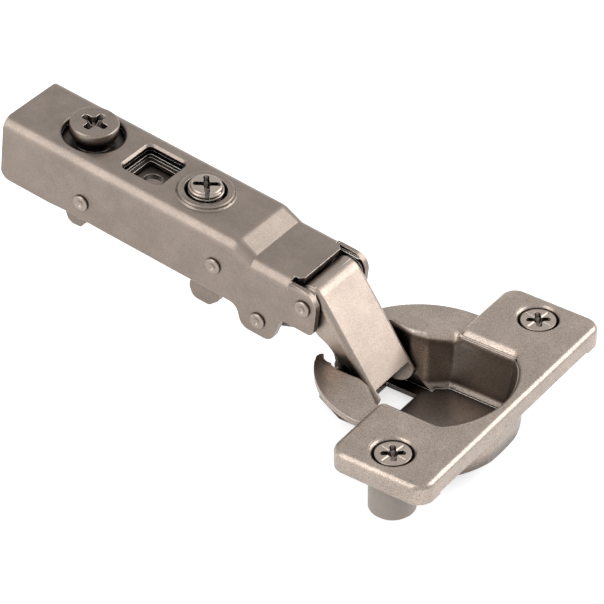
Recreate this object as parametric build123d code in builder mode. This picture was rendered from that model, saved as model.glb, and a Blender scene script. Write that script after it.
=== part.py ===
from build123d import *
from math import atan2, cos, degrees, hypot, radians, sin, tan
import os

# Concealed cabinet hinge with a 35 mm cup, drawn standing open.
# Millimetres. X runs along the arm to the cup and Z out of the arm's top face.
# The origin is the centre of the carriage's locating hole, on the underside of its web.

# Fits and clearances
fixed_gap = 0.02       # round a pin or screw that its own body holds
running_gap = 0.05     # round a pin that turns or slides
body_gap = 0.3         # between pieces that move past each other
overcut = 1.0          # how far a cut runs past the face it opens
touch = 0.01           # an edge this near a face is on it

# Carriage, saddle and arm, stacked over the locating hole
carriage_sheet = 1.2
saddle_thickness = 1.35
tilt_room = 0.65       # lets the arm tilt over the saddle
arm_sheet = 1.2
arm_width = 16.0
arm_height = 12.7
arm_bend_radius = 1.7
inner_bend_radius = 0.6

# Stations along the arm
arm_rear_x = -27.8
arm_ramp_x = 23.2
arm_crease_x = 27.1
arm_ramp_drop = 1.75
arm_notch_x = 35.2
arm_tongue_x = 36.7
tongue_gap = 0.8       # between the tongue and each cheek
tongue_root = 0.5      # of the tongue, back in the arm's top
ear_step = 0.65        # from the tongue's top down to the ears
ear_reach = 2.7        # ahead of the outer link's pin
ear_below = 5.0        # below the outer link's pin
ear_round = 3.2        # top corner of each ear
ear_chin = 1.2         # bottom corner of each ear
lobe_reach = 4.0       # ahead of the inner link's pin
lobe_behind = 4.0
lobe_below = 3.1
lobe_round = 2.2
lobe_slope = 1.6       # how far the lobe's sides lean in towards its foot
crease_radius = 0.4    # at the front of the ramp
ramp_radius = 3.0      # at the back of the ramp
rear_step_x = -16.6    # the arm is a little deeper behind this
rear_step = 0.25
rear_step_length = 3.4
corner_radius = 1.9

# Openings in the arm's top
cam_x = -13.6
cam_hole_radius = 5.6
hole_bevel = 0.45
window_length = 8.15
window_width = 8.3
window_x = -0.15
window_corner = 1.0
side_screw_x = 11.3
side_screw_radius = 3.4
collar_radius = 5.5
collar_top_radius = 4.4
collar_rise = 0.65
collar_mouth_radius = 3.9
collar_root = 0.2      # sunk in the arm's top

# Pins
pin_radius = 1.25
pin_proud = 0.5
pin_dimple_radius = 0.6
pin_dimple_depth = 0.3
pin_edge = 0.2
tilt_pin_x = -9.5
tilt_pin_z = -4.35
guide_pin_x = 19.6
guide_pin_z = -2.35
inner_pin_x = 29.9
inner_pin_z = -8.9
outer_pin_x = 38.6
outer_pin_z = -1.1

# Cross recesses; the small wings are shares of the cross
recess_draft = 8.0
recess_wing_span = 0.62
recess_wing_width = 0.55
recess_wing_depth = 0.6

# Adjustment travel
depth_travel = 1.8     # each way
tilt_angle = 1.0       # each way, degrees
eccentric_throw = 2.6
eccentric_radius = 0.9
eccentric_root = 0.2   # of the tip, up in the cam's disc
eccentric_below = 0.3  # of the tip, under the carriage's web
cam_half_turn = 45.0   # each way, degrees

# Carriage
locating_hole_radius = 1.75
carriage_rear_x = -24.5
carriage_front_x = 21.6
carriage_web_front_x = 18.4
carriage_depth = 7.5   # below the origin
claw_reach = 12.9      # below the origin
claw_x = 17.6
claw_front = 2.9       # ahead of claw_x
claw_back = 3.5        # behind claw_x
claw_heel = 1.9
claw_height = 3.6      # of the hooked nose, above the claw's foot
claw_nose = 1.0
claw_slot = 0.9        # behind the nose
carriage_rounds = [0.5, 0.8, 1.5, 1.3, 1.3, 1.6, 1.1, 0.7, 0.25, 0.25, 0.3, 2.0]   # from the web's rear end

# Saddle
saddle_rear_x = -19.8
saddle_front_x = 6.4
pocket_size = 7.9
pocket_depth = 0.7
pocket_hole_size = 6.2
saddle_leg_length = 4.8
saddle_leg_sheet = 1.2
saddle_leg_root = 0.5  # of the legs, up in the plate
saddle_corner = 1.5
pocket_corner = 0.6
pocket_hole_corner = 0.5

# Cam screw
cam_head_radius = 4.45
cam_head_height = 2.35
cam_head_gap = 0.1     # between the head and the arm's top
cam_neck_radius = 3.6
cam_disc_radius = 3.7
cam_disc_rise = 0.1    # above the saddle
cam_neck_step = 0.1    # from the disc to the neck
cam_head_foot = 0.3    # chamfer under the head
cam_head_crown = 0.5   # chamfer round the head's top
cam_recess = (5.4, 1.5, 1.7)       # span, width and depth

# Side screw
side_screw_top = 1.9   # above the arm's top
side_screw_tip_radius = 2.2
side_screw_point = 1.0 # height of the tip's cone
side_screw_edge = 0.4
side_recess = (5.0, 1.2, 1.6)      # span, width and depth

# Catch lever
catch_x = -18.6
catch_z = -4.4
catch_sheet = 1.0
catch_eye_radius = 2.2
catch_tab_x = -26.2
catch_hook_depth = 13.0
catch_pin_radius = 1.2
catch_round = 0.3
catch_tab_top = 1.0    # of the release tab, above the pivot
catch_tab_foot = 1.4   # of the release tab, below the pivot
catch_hollow_top = 5.0     # of the room between the two hooks, above the pivot
catch_hollow_front = 9.0   # of that room, ahead of the pivot
catch_lever_top = [(1.6, 1.9), (-5.4, 2.0)]      # from the pivot
catch_shank_rear = [(-2.4, -2.4), (3.2, -5.6)]   # from the pivot
catch_shank_front = [(5.9, -4.6), (3.0, -2.4)]   # from the pivot
catch_hook = [(3.6, 1.9), (4.3, 0.5), (5.3, 0.0), (7.2, 0.2), (7.9, 1.2), (7.4, 2.2), (6.4, 1.8),
              (5.6, 3.2)]                        # ahead of the pivot and above the hook's foot

# Springs
catch_wire = 0.7
catch_coils = 4
catch_coil_gap = 0.35  # between the coil and the catch's pin
closing_wire = 0.75
closing_coils = 1.5
closing_coil_radius = 2.1
closing_gap = 0.25     # between each coil and the inner link
coil_spacing = 1.04    # a close coil's pitch as a share of its wire
wire_sides = 8

# Damper
damper_radius = 2.5
damper_bore = 1.55
damper_rear_x = 22.1
damper_length = 7.2
damper_z = -1.3
damper_foot = 0.4      # chamfer at the closed end
damper_edge = 0.3      # chamfer at the mouth
damper_wall = 0.8      # behind the bore
damper_collar = 1.2    # round the rod at the mouth
rod_radius = 1.3
rod_head_radius = 1.8
rod_head_length = 1.2
rod_head_edge = 0.4
rod_neck = 0.3         # between the mouth and the rod's head, at full stroke
rod_spare = 0.2        # behind the rod, at full stroke
rod_stroke = 2.0

# Outer link, along its own length u and across it v
outer_link_angle = -48.0
outer_link_length = 17.7
link_gap = 0.6         # between the outer link and each cheek, filled by a washer and its play
outer_link_sheet = 1.2
outer_link_face = 3.1      # from the pins' line to the web's outer face, also the head's radius
outer_link_bend = 1.15
outer_link_wrap = 48.0     # how far the web wraps round the head, degrees
outer_link_foot = 1.1      # of the web, past the cup pin
outer_link_toe = 4.2       # flange's round at the cup pin
toe_front = 2.8            # of the flange, past the cup pin at the web
toe_back = 1.0             # of the flange, behind the pins' line at the cup pin
waist_u = 5.3              # the flange narrows from here towards the cup
waist_length = 5.6
waist_neck = 2.7           # behind the pins' line, where the waist starts
waist_middle = 1.3
waist_back = 0.5
spacer_radius = 2.5
spacer_thickness = 0.3

# Inner link
inner_eye_wall = 0.95
cup_eye_radius = 2.3
slot_travel_x = 2.25       # the arm pin's path in the link's open eye
slot_travel_z = 0.85
slot_shift_x = -0.42
slot_shift_z = 0.19
# Arch of the inner link, each point with its radius
arch_root = 1.0        # behind the slot's middle
arch_over = [(-3.2, -2.9, 2), (2.2, -2.6, 2), (4.4, -4.2, 2), (6.4, -6.6, 1)]     # from the outer link's pin
arch_end = [(1.4, 1.7, 0), (-2.1, 0.6, 0)]                                       # from the inner cup pin
arch_under = [(4.7, -7.7, 1.5), (2.6, -7.0, 1.5), (0.2, -6.8, 1.5)]              # from the outer link's pin
arch_heel = [(3.2, -1.9, 1)]                                                     # from the slot's middle

# Cup, in its own frame: origin at its centre in the wing's top face
cup_tilt = 7.1
cup_x = 58.6
cup_z = -6.9
cup_radius = 17.5
cup_depth = 12.2
cup_floor = 0.9
cup_edge_radius = 1.6
crescent_radius = 18.35
crescent_drop = 1.07       # from the wing's top
crescent_sheet = 1.1
crescent_lip = 0.45
skirt_depth = 3.9
skirt_relief = 0.45        # the front skirt is shallower between its two ears
skirt_relief_reach = 0.25  # of that relief, behind the skirt
skirt_ear = 5.0
wing_end = 5.7             # past each wing screw
wing_width = 19.3
wing_offset = 0.1          # from the cup's centre to the wing's rear edge
wing_sheet = 1.2
wing_skirt = 1.0
wing_corner = 3.0
wing_roll = 1.15
bowl_radius = 16.7
bowl_width = 23.7
bowl_draft = 12.5
bowl_lip = 1.0             # rolled edge of the bowl's mouth in the wing
lip_slope = 30.0           # of the rolled edge's outer half; the inner half is as steep as that is flat
bowl_sheet = 1.05
bowl_outside_draft = 9.0
bowl_shoulder_x = -0.5     # where the bowl's side turns in towards the neck
neck_shoulder_x = -4.6     # where that turn meets the neck
neck_shoulder_half = 9.1
neck_gap = 0.5             # between the outer link and each neck wall
neck_mouth_spread = 1.6    # of the neck's mouth, to each side
neck_flare_depth = 3.5
neck_flare = 14.0
neck_wall = 3.1
neck_heel = [(-11.0, 0.0), (-14.4, 2.9), (-15.3, 4.7)]     # along the cup and up from the bowl's floor
floor_window_length = 6.3
floor_window_width = 8.4
floor_window_x = -6.65
outer_cup_pin_x = -9.0
outer_cup_pin_z = -6.3
inner_cup_pin_x = -12.5
inner_cup_pin_z = -4.0
cup_pin_seat = 2.0         # of each pin end in the neck walls
cup_pin_room = 0.1         # past each pin end

# Cup swing, from the drawn pose, and what the links turn for each degree of it
swing_open = 12.1
swing_closed = 82.9
outer_link_share = -0.165
inner_link_share = -0.328

# Wing screws and dowels
screw_pitch = 45.0
screw_x = 9.5
screw_head_radius = 3.8
screw_head_recess = 0.25
screw_shank_radius = 1.9
screw_length = 10.0
screw_point = 1.0          # height of the tip's cone
screw_point_step = 0.8     # from the shank down to the tip
screw_rim = 0.1            # between the head's rim and its full radius
screw_rim_height = 0.2
screw_recess = (4.6, 1.1, 1.5)     # span, width and depth
countersink_gap = 0.2      # round the head
countersink_slope = 45.0
dowel_radius = 4.1
dowel_depth = 12.0
dowel_chamfer = 0.6
dowel_seat_step = 0.6      # from the head's radius in to the dowel's seat
dowel_tip_room = 0.5       # under the screw's tip
dowel_vent_radius = 1.2

# Levels and faces worked out from the sizes above
web_top = carriage_sheet
saddle_under = web_top + body_gap
saddle_top = saddle_under + saddle_thickness
arm_under = saddle_top + tilt_room
arm_top = arm_under + arm_sheet
arm_bottom = arm_top - arm_height
tongue_top = arm_top - arm_ramp_drop
ramp_angle = degrees(atan2(arm_ramp_drop, arm_crease_x - arm_ramp_x))
arm_inside = arm_width / 2 - arm_sheet
carriage_side = arm_inside - body_gap
carriage_inside = carriage_side - carriage_sheet
pin_reach = arm_width / 2 + pin_proud
tongue_width = 2 * (arm_inside - tongue_gap)
outer_link_half = arm_inside - link_gap
inner_link_width = 2 * (outer_link_half - outer_link_sheet - body_gap)
neck_half = outer_link_half + neck_gap
neck_mouth_width = 2 * (neck_half + neck_mouth_spread)
wing_length = screw_pitch + 2 * wing_end

arm_pin = Vector(outer_pin_x, 0, outer_pin_z)
lobe_pin = Vector(inner_pin_x, 0, inner_pin_z)
link_plane = Plane(arm_pin, x_dir=(cos(radians(outer_link_angle)), 0, sin(radians(outer_link_angle))),
                   z_dir=(0, -1, 0))
cup_plane = Plane((cup_x, 0, cup_z), x_dir=(cos(radians(cup_tilt)), 0, sin(radians(cup_tilt))),
                  z_dir=(-sin(radians(cup_tilt)), 0, cos(radians(cup_tilt))))
cup_side = Plane(cup_plane.origin, x_dir=cup_plane.x_dir, z_dir=(0, -1, 0))
outer_cup_axis = cup_side.from_local_coords(Vector(outer_cup_pin_x, outer_cup_pin_z, 0))
inner_cup_axis = cup_side.from_local_coords(Vector(inner_cup_pin_x, inner_cup_pin_z, 0))
cup_pin_spacing = hypot(inner_cup_pin_x - outer_cup_pin_x, inner_cup_pin_z - outer_cup_pin_z)
cup_pin_half = neck_half + cup_pin_seat


def across(x, z):
    """The plane whose normal runs across the hinge, through a point of its middle plane."""
    return Plane((x, 0, z), x_dir=(1, 0, 0), z_dir=(0, -1, 0))


def turned(plane, half_section):
    """A turned piece: radius and height pairs, revolved round the plane's normal."""
    section_plane = Plane(plane.origin, x_dir=plane.x_dir, z_dir=-plane.y_dir)
    with BuildPart() as piece:
        with BuildSketch(section_plane):
            with BuildLine():
                Polyline(*half_section, close=True)
            make_face()
        revolve(axis=Axis(plane.origin, plane.z_dir))
    return piece


def cross_pin(x, z, half_length, radius=pin_radius):
    """A cross pin with chamfered ends and a centre dimple in each."""
    top = half_length
    profile = [
        (0, top - pin_dimple_depth), (pin_dimple_radius, top), (radius - pin_edge, top),
        (radius, top - pin_edge), (radius, pin_edge - top), (radius - pin_edge, -top),
        (pin_dimple_radius, -top), (0, pin_dimple_depth - top),
    ]
    return turned(across(x, z), profile)


def cross_recess(plane, span, width, depth):
    """Cut a cross recess with four small wings between its arms down into the piece being built."""
    with BuildSketch(plane, mode=Mode.PRIVATE) as cross:
        Rectangle(span, width)
        Rectangle(width, span)
    extrude(cross.sketch, amount=-depth, taper=recess_draft, mode=Mode.SUBTRACT)
    with BuildSketch(plane, mode=Mode.PRIVATE) as wings:
        Rectangle(span * recess_wing_span, width * recess_wing_width, rotation=45)
        Rectangle(span * recess_wing_span, width * recess_wing_width, rotation=-45)
    extrude(wings.sketch, amount=-depth * recess_wing_depth, taper=recess_draft, mode=Mode.SUBTRACT)


# Arm: a channel whose cheeks run on into ears and lobes ahead of the bent tongue
ear_top = tongue_top - ear_step
ear_front = outer_pin_x + ear_reach
ear_bottom = outer_pin_z - ear_below
lobe_bottom = inner_pin_z - lobe_below
lobe_front = inner_pin_x + lobe_reach
lobe_rear = inner_pin_x - lobe_behind
arm_corners = [
    (arm_rear_x, arm_top, 0), (arm_ramp_x, arm_top, ramp_radius), (arm_crease_x, tongue_top, crease_radius),
    (arm_notch_x, tongue_top, 0), (arm_notch_x, ear_top, 0), (ear_front, ear_top, ear_round),
    (ear_front, ear_bottom, ear_chin), (lobe_front + lobe_slope / 2, ear_bottom, lobe_slope / 2),
    (lobe_front - lobe_slope / 2, lobe_bottom, lobe_round), (lobe_rear + lobe_slope / 2, lobe_bottom, lobe_round),
    (lobe_rear - lobe_slope / 2, arm_bottom, lobe_round), (rear_step_x + rear_step_length, arm_bottom, rear_step),
    (rear_step_x, arm_bottom - rear_step, rear_step), (arm_rear_x, arm_bottom - rear_step, corner_radius),
]
arm_outline = [(x, z) for x, z, radius in arm_corners]
arm_outline_radii = [radius for x, z, radius in arm_corners]
inner_shift = arm_sheet * tan(radians(ramp_angle / 2))
arm_hollow = [
    (arm_rear_x - overcut, arm_under), (arm_ramp_x - inner_shift, arm_under),
    (arm_crease_x - inner_shift, tongue_top - arm_sheet), (ear_front + overcut, tongue_top - arm_sheet),
    (ear_front + overcut, lobe_bottom - overcut), (arm_rear_x - overcut, lobe_bottom - overcut),
]
with BuildPart() as hollow:
    with BuildSketch(Plane.XZ):
        with BuildLine():
            Polyline(*arm_hollow, close=True)
        make_face()
    extrude(amount=arm_inside, both=True)
    hollow_edges = hollow.edges().filter_by(
        lambda edge: edge.center().Z > tongue_top - arm_sheet - touch
        and abs(abs(edge.center().Y) - arm_inside) < touch
    )
    fillet(hollow_edges, inner_bend_radius)
with BuildPart() as arm:
    with BuildSketch(Plane.XZ):
        with BuildLine():
            FilletPolyline(*arm_outline, radius=arm_outline_radii, close=True)
        make_face()
    extrude(amount=arm_width / 2, both=True)
    top_edges = arm.edges().filter_by(
        lambda edge: edge.center().Z > tongue_top - touch
        and abs(abs(edge.center().Y) - arm_width / 2) < touch
    )
    fillet(top_edges, arm_bend_radius)
    add(hollow.part, mode=Mode.SUBTRACT)
    with BuildSketch(Plane.XY.offset(tongue_top - arm_sheet)):
        with Locations(((arm_notch_x + ear_front + overcut) / 2, 0)):
            Rectangle(ear_front - arm_notch_x + overcut, 2 * arm_inside)
    extrude(amount=arm_sheet + overcut, mode=Mode.SUBTRACT)
    with BuildSketch(Plane.XY.offset(tongue_top)):
        with Locations(((arm_notch_x - tongue_root + arm_tongue_x) / 2, 0)):
            Rectangle(arm_tongue_x - arm_notch_x + tongue_root, tongue_width)
    extrude(amount=-arm_sheet)
    with BuildSketch(Plane.XY.offset(arm_under - overcut / 2)):
        with Locations((cam_x, 0)):
            Circle(cam_hole_radius)
        with Locations((window_x, 0)):
            RectangleRounded(window_length, window_width, window_corner)
    extrude(amount=arm_sheet + overcut, mode=Mode.SUBTRACT)
    hole_edges = arm.edges().filter_by(
        lambda edge: abs(edge.center().Z - arm_top) < touch
        and abs(edge.center().Y) < cam_hole_radius - touch
        and cam_x - touch < edge.center().X < window_x + window_length
    )
    chamfer(hole_edges, hole_bevel)
    with BuildSketch(across(side_screw_x, 0)):
        with BuildLine():
            Polyline(
                (0, arm_top - collar_root), (collar_radius, arm_top - collar_root), (collar_radius, arm_top),
                (collar_top_radius, arm_top + collar_rise), (0, arm_top + collar_rise), close=True,
            )
        make_face()
    revolve(axis=Axis((side_screw_x, 0, 0), (0, 0, 1)))
    with BuildSketch(across(side_screw_x, 0)):
        with BuildLine():
            Polyline(
                (0, arm_under - overcut), (side_screw_radius + running_gap, arm_under - overcut),
                (side_screw_radius + running_gap, arm_top), (collar_mouth_radius, arm_top + collar_rise),
                (collar_mouth_radius, arm_top + collar_rise + overcut), (0, arm_top + collar_rise + overcut),
                close=True,
            )
        make_face()
    revolve(axis=Axis((side_screw_x, 0, 0), (0, 0, 1)), mode=Mode.SUBTRACT)
    with BuildSketch(Plane.XZ):
        with Locations((tilt_pin_x, tilt_pin_z)):
            Circle(pin_radius + running_gap)
        with Locations((guide_pin_x, guide_pin_z), (inner_pin_x, inner_pin_z), (outer_pin_x, outer_pin_z)):
            Circle(pin_radius + fixed_gap)
    extrude(amount=arm_width, both=True, mode=Mode.SUBTRACT)

tilt_pin = cross_pin(tilt_pin_x, tilt_pin_z, pin_reach)
guide_pin = cross_pin(guide_pin_x, guide_pin_z, pin_reach)
inner_link_pin = cross_pin(inner_pin_x, inner_pin_z, pin_reach)
outer_link_pin = cross_pin(outer_pin_x, outer_pin_z, pin_reach)

# Carriage: a channel under the saddle, slotted for the pins, with a claw on each cheek
guide_lift = (guide_pin_x - tilt_pin_x) * sin(radians(tilt_angle))
guide_slot_height = 2 * (pin_radius + guide_lift + body_gap / 2)
guide_slot_length = 2 * (pin_radius + depth_travel + body_gap)
tilt_slot_length = 2 * (pin_radius + depth_travel + body_gap)
claw_rear = claw_x - claw_back
claw_mouth = claw_rear + claw_nose
carriage_outline = [
    (carriage_rear_x, web_top), (carriage_front_x, web_top), (carriage_front_x, claw_heel - carriage_depth),
    (claw_x + claw_front, claw_heel - claw_reach), (claw_x + claw_front - claw_heel, -claw_reach),
    (claw_rear + claw_heel / 2, -claw_reach), (claw_rear, -claw_reach + claw_heel),
    (claw_rear, -claw_reach + claw_height), (claw_mouth, -claw_reach + claw_height),
    (claw_mouth + claw_slot / 2, -claw_reach + claw_height - claw_slot),
    (claw_mouth + claw_slot, -carriage_depth), (carriage_rear_x, -carriage_depth),
]
with BuildPart() as clip_carriage:
    with BuildSketch(Plane.XZ):
        with BuildLine():
            FilletPolyline(*carriage_outline, radius=carriage_rounds, close=True)
        make_face()
    extrude(amount=carriage_side, both=True)
    with BuildSketch(Plane((carriage_rear_x, 0, web_top), x_dir=(0, 1, 0), z_dir=(1, 0, 0))):
        with GridLocations(2 * carriage_side, 0, 2, 1):
            Rectangle(2 * carriage_sheet, 2 * carriage_sheet)
        with Locations((0, -carriage_sheet)):
            SlotOverall(2 * carriage_side, 2 * carriage_sheet, mode=Mode.SUBTRACT)
    extrude(amount=carriage_front_x - carriage_rear_x, mode=Mode.SUBTRACT)
    with BuildSketch(Plane.XY):
        with Locations(((carriage_rear_x + carriage_front_x) / 2, 0)):
            Rectangle(carriage_front_x - carriage_rear_x + 2 * overcut, 2 * carriage_inside)
    extrude(amount=-claw_reach - overcut, mode=Mode.SUBTRACT)
    with BuildSketch(Plane.XY.offset(-overcut)):
        with Locations(((carriage_web_front_x + carriage_front_x + overcut) / 2, 0)):
            Rectangle(carriage_front_x + overcut - carriage_web_front_x, 2 * carriage_inside)
        Circle(locating_hole_radius)
        with Locations((cam_x, eccentric_throw * (1 + cos(radians(cam_half_turn))) / 2)):
            SlotOverall(
                2 * (eccentric_radius + body_gap) + eccentric_throw * (1 - cos(radians(cam_half_turn))),
                2 * eccentric_radius + body_gap, rotation=90,
            )
        with Locations((tilt_pin_x, 0)):
            with GridLocations(0, 2 * carriage_inside - 2 * body_gap - saddle_leg_sheet, 1, 2):
                Rectangle(saddle_leg_length + 2 * (depth_travel + body_gap), saddle_leg_sheet + 2 * body_gap)
    extrude(amount=carriage_sheet + 2 * overcut, mode=Mode.SUBTRACT)
    with BuildSketch(Plane.XZ):
        with Locations((guide_pin_x, guide_pin_z)):
            SlotOverall(guide_slot_length, guide_slot_height)
        with Locations((tilt_pin_x, tilt_pin_z)):
            SlotOverall(tilt_slot_length, 2 * (pin_radius + running_gap))
        with Locations((catch_x, catch_z)):
            Circle(catch_pin_radius + fixed_gap)
    extrude(amount=arm_width, both=True, mode=Mode.SUBTRACT)

# Saddle plate: slides on the carriage, and its legs reach through the web to hold the tilt pin
saddle_leg_y = carriage_inside - body_gap
with BuildPart() as saddle_plate:
    with BuildSketch(Plane.XY.offset(saddle_under)):
        with Locations(((saddle_rear_x + saddle_front_x) / 2, 0)):
            RectangleRounded(saddle_front_x - saddle_rear_x, 2 * (carriage_side - body_gap), saddle_corner)
    extrude(amount=saddle_thickness)
    with BuildSketch(Plane.XY.offset(saddle_top - pocket_depth)):
        RectangleRounded(pocket_size, pocket_size, pocket_corner)
    extrude(amount=pocket_depth + overcut, mode=Mode.SUBTRACT)
    with BuildSketch(Plane.XY.offset(saddle_under - overcut)):
        RectangleRounded(pocket_hole_size, pocket_hole_size, pocket_hole_corner)
    extrude(amount=saddle_thickness + 2 * overcut, mode=Mode.SUBTRACT)
    with BuildSketch(Plane.XZ):
        with BuildLine():
            Polyline(
                (tilt_pin_x - saddle_leg_length / 2, saddle_under + saddle_leg_root),
                (tilt_pin_x + saddle_leg_length / 2, saddle_under + saddle_leg_root),
                (tilt_pin_x + saddle_leg_length / 2, tilt_pin_z),
                (tilt_pin_x - saddle_leg_length / 2, tilt_pin_z), close=True,
            )
        make_face()
        with Locations((tilt_pin_x, tilt_pin_z)):
            Circle(saddle_leg_length / 2)
            Circle(pin_radius + fixed_gap, mode=Mode.SUBTRACT)
    extrude(amount=saddle_leg_y, both=True)
    with BuildSketch(Plane.XY.offset(saddle_under)):
        with Locations((tilt_pin_x, 0)):
            Rectangle(saddle_leg_length + 2 * overcut, 2 * (saddle_leg_y - saddle_leg_sheet))
    extrude(amount=-arm_height, mode=Mode.SUBTRACT)
    with BuildSketch(Plane.XY.offset(saddle_under - overcut)):
        with Locations((cam_x, 0)):
            Circle(cam_disc_radius + running_gap)
    extrude(amount=saddle_thickness + 2 * overcut, mode=Mode.SUBTRACT)

# Cam screw: the head stands over the arm's hole and the tip works in the carriage's slot
cam_plane = Plane((cam_x, 0, 0))
head_under = arm_top + cam_head_gap
head_top = head_under + cam_head_height
disc_top = saddle_top + cam_disc_rise
with BuildPart() as cam_screw:
    add(turned(cam_plane, [
        (0, saddle_under), (cam_disc_radius, saddle_under), (cam_disc_radius, disc_top),
        (cam_neck_radius, disc_top + cam_neck_step), (cam_neck_radius, head_under),
        (cam_head_radius - cam_head_foot, head_under), (cam_head_radius, head_under + cam_head_foot),
        (cam_head_radius, head_top - cam_head_crown), (cam_head_radius - cam_head_crown, head_top),
        (0, head_top),
    ]).part)
    with BuildSketch(Plane.XY.offset(saddle_under + eccentric_root)):
        with Locations((cam_x, eccentric_throw)):
            Circle(eccentric_radius)
    extrude(amount=-saddle_under - eccentric_root - eccentric_below)
    cross_recess(cam_plane.offset(head_top), *cam_recess)

# Side screw: a set screw in the collar, ending just above the carriage's web
side_plane = Plane((side_screw_x, 0, 0))
side_lift = (side_screw_x - tilt_pin_x) * sin(radians(tilt_angle))
side_tip = web_top + side_lift + body_gap
side_top = arm_top + side_screw_top
with BuildPart() as side_screw:
    add(turned(side_plane, [
        (0, side_tip), (side_screw_tip_radius, side_tip), (side_screw_radius, side_tip + side_screw_point),
        (side_screw_radius, side_top - side_screw_edge), (side_screw_radius - side_screw_edge, side_top),
        (0, side_top),
    ]).part)
    cross_recess(side_plane.offset(side_top), *side_recess)

# Catch lever: two hooks joined by a release tab, pivoting in the carriage
catch_side = carriage_inside - body_gap
catch_outline = [(catch_x + x, catch_z + z) for x, z in catch_lever_top]
catch_outline += [(catch_tab_x, catch_z + catch_tab_top), (catch_tab_x, catch_z - catch_tab_foot)]
catch_outline += [(catch_x + x, catch_z + z) for x, z in catch_shank_rear]
catch_outline += [(catch_x + x, z - catch_hook_depth) for x, z in catch_hook]
catch_outline += [(catch_x + x, catch_z + z) for x, z in catch_shank_front]
catch_hollow_length = catch_x + catch_hollow_front - catch_tab_x - catch_sheet
with BuildPart() as catch_lever:
    with BuildSketch(Plane.XZ):
        with BuildLine():
            FilletPolyline(*catch_outline, radius=catch_round, close=True)
        make_face()
        with Locations((catch_x, catch_z)):
            Circle(catch_eye_radius)
            Circle(catch_pin_radius + running_gap, mode=Mode.SUBTRACT)
    extrude(amount=catch_side, both=True)
    with BuildSketch(Plane.XY.offset(catch_z + catch_hollow_top)):
        with Locations((catch_tab_x + catch_sheet + catch_hollow_length / 2, 0)):
            Rectangle(catch_hollow_length, 2 * (catch_side - catch_sheet))
    extrude(amount=-catch_hook_depth - catch_hollow_top, mode=Mode.SUBTRACT)

catch_pin = cross_pin(catch_x, catch_z, carriage_side, catch_pin_radius)


def coil_spring(x, z, side, coil_radius, wire, coils, y_start):
    """A close coil round a cross pin, wound from y_start towards one side."""
    pitch = wire * coil_spacing
    with BuildPart() as spring:
        with BuildLine():
            coil = Helix(pitch, pitch * coils, coil_radius, center=(x, y_start, z), direction=(0, side, 0))
        with BuildSketch(Plane(coil @ 0, z_dir=coil % 0)):
            RegularPolygon(wire / 2, wire_sides)
        sweep(path=coil, is_frenet=True)
    return spring


catch_coil_radius = catch_pin_radius + catch_coil_gap + catch_wire / 2
catch_spring = coil_spring(catch_x, catch_z, 1, catch_coil_radius, catch_wire, catch_coils,
                           -catch_wire * catch_coils / 2)
closing_y = inner_link_width / 2 + closing_gap + closing_wire / 2
near_closing_spring, far_closing_spring = [
    coil_spring(inner_pin_x, inner_pin_z, side, closing_coil_radius, closing_wire, closing_coils, side * closing_y)
    for side in (-1, 1)
]

# Damper: a cylinder under the ramp and its rod
damper_plane = Plane((damper_rear_x, 0, damper_z), x_dir=(0, 1, 0), z_dir=(1, 0, 0))
rod_hole = rod_radius + running_gap
damper_cylinder = turned(damper_plane, [
    (0, 0), (damper_radius - damper_foot, 0), (damper_radius, damper_foot),
    (damper_radius, damper_length - damper_edge), (damper_radius - damper_edge, damper_length),
    (rod_hole, damper_length), (rod_hole, damper_length - damper_collar),
    (damper_bore, damper_length - damper_collar), (damper_bore, damper_wall), (0, damper_wall),
])
rod_tail = damper_wall + rod_stroke + rod_spare
rod_head_start = damper_length + rod_stroke + rod_neck
rod_head_end = damper_length + rod_stroke + rod_head_length
damper_rod = turned(damper_plane, [
    (0, rod_tail), (rod_radius, rod_tail), (rod_radius, rod_head_start), (rod_head_radius, rod_head_start),
    (rod_head_radius, rod_head_end), (rod_head_radius - rod_head_edge, rod_head_end + rod_head_edge),
    (0, rod_head_end + rod_head_edge),
])

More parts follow.
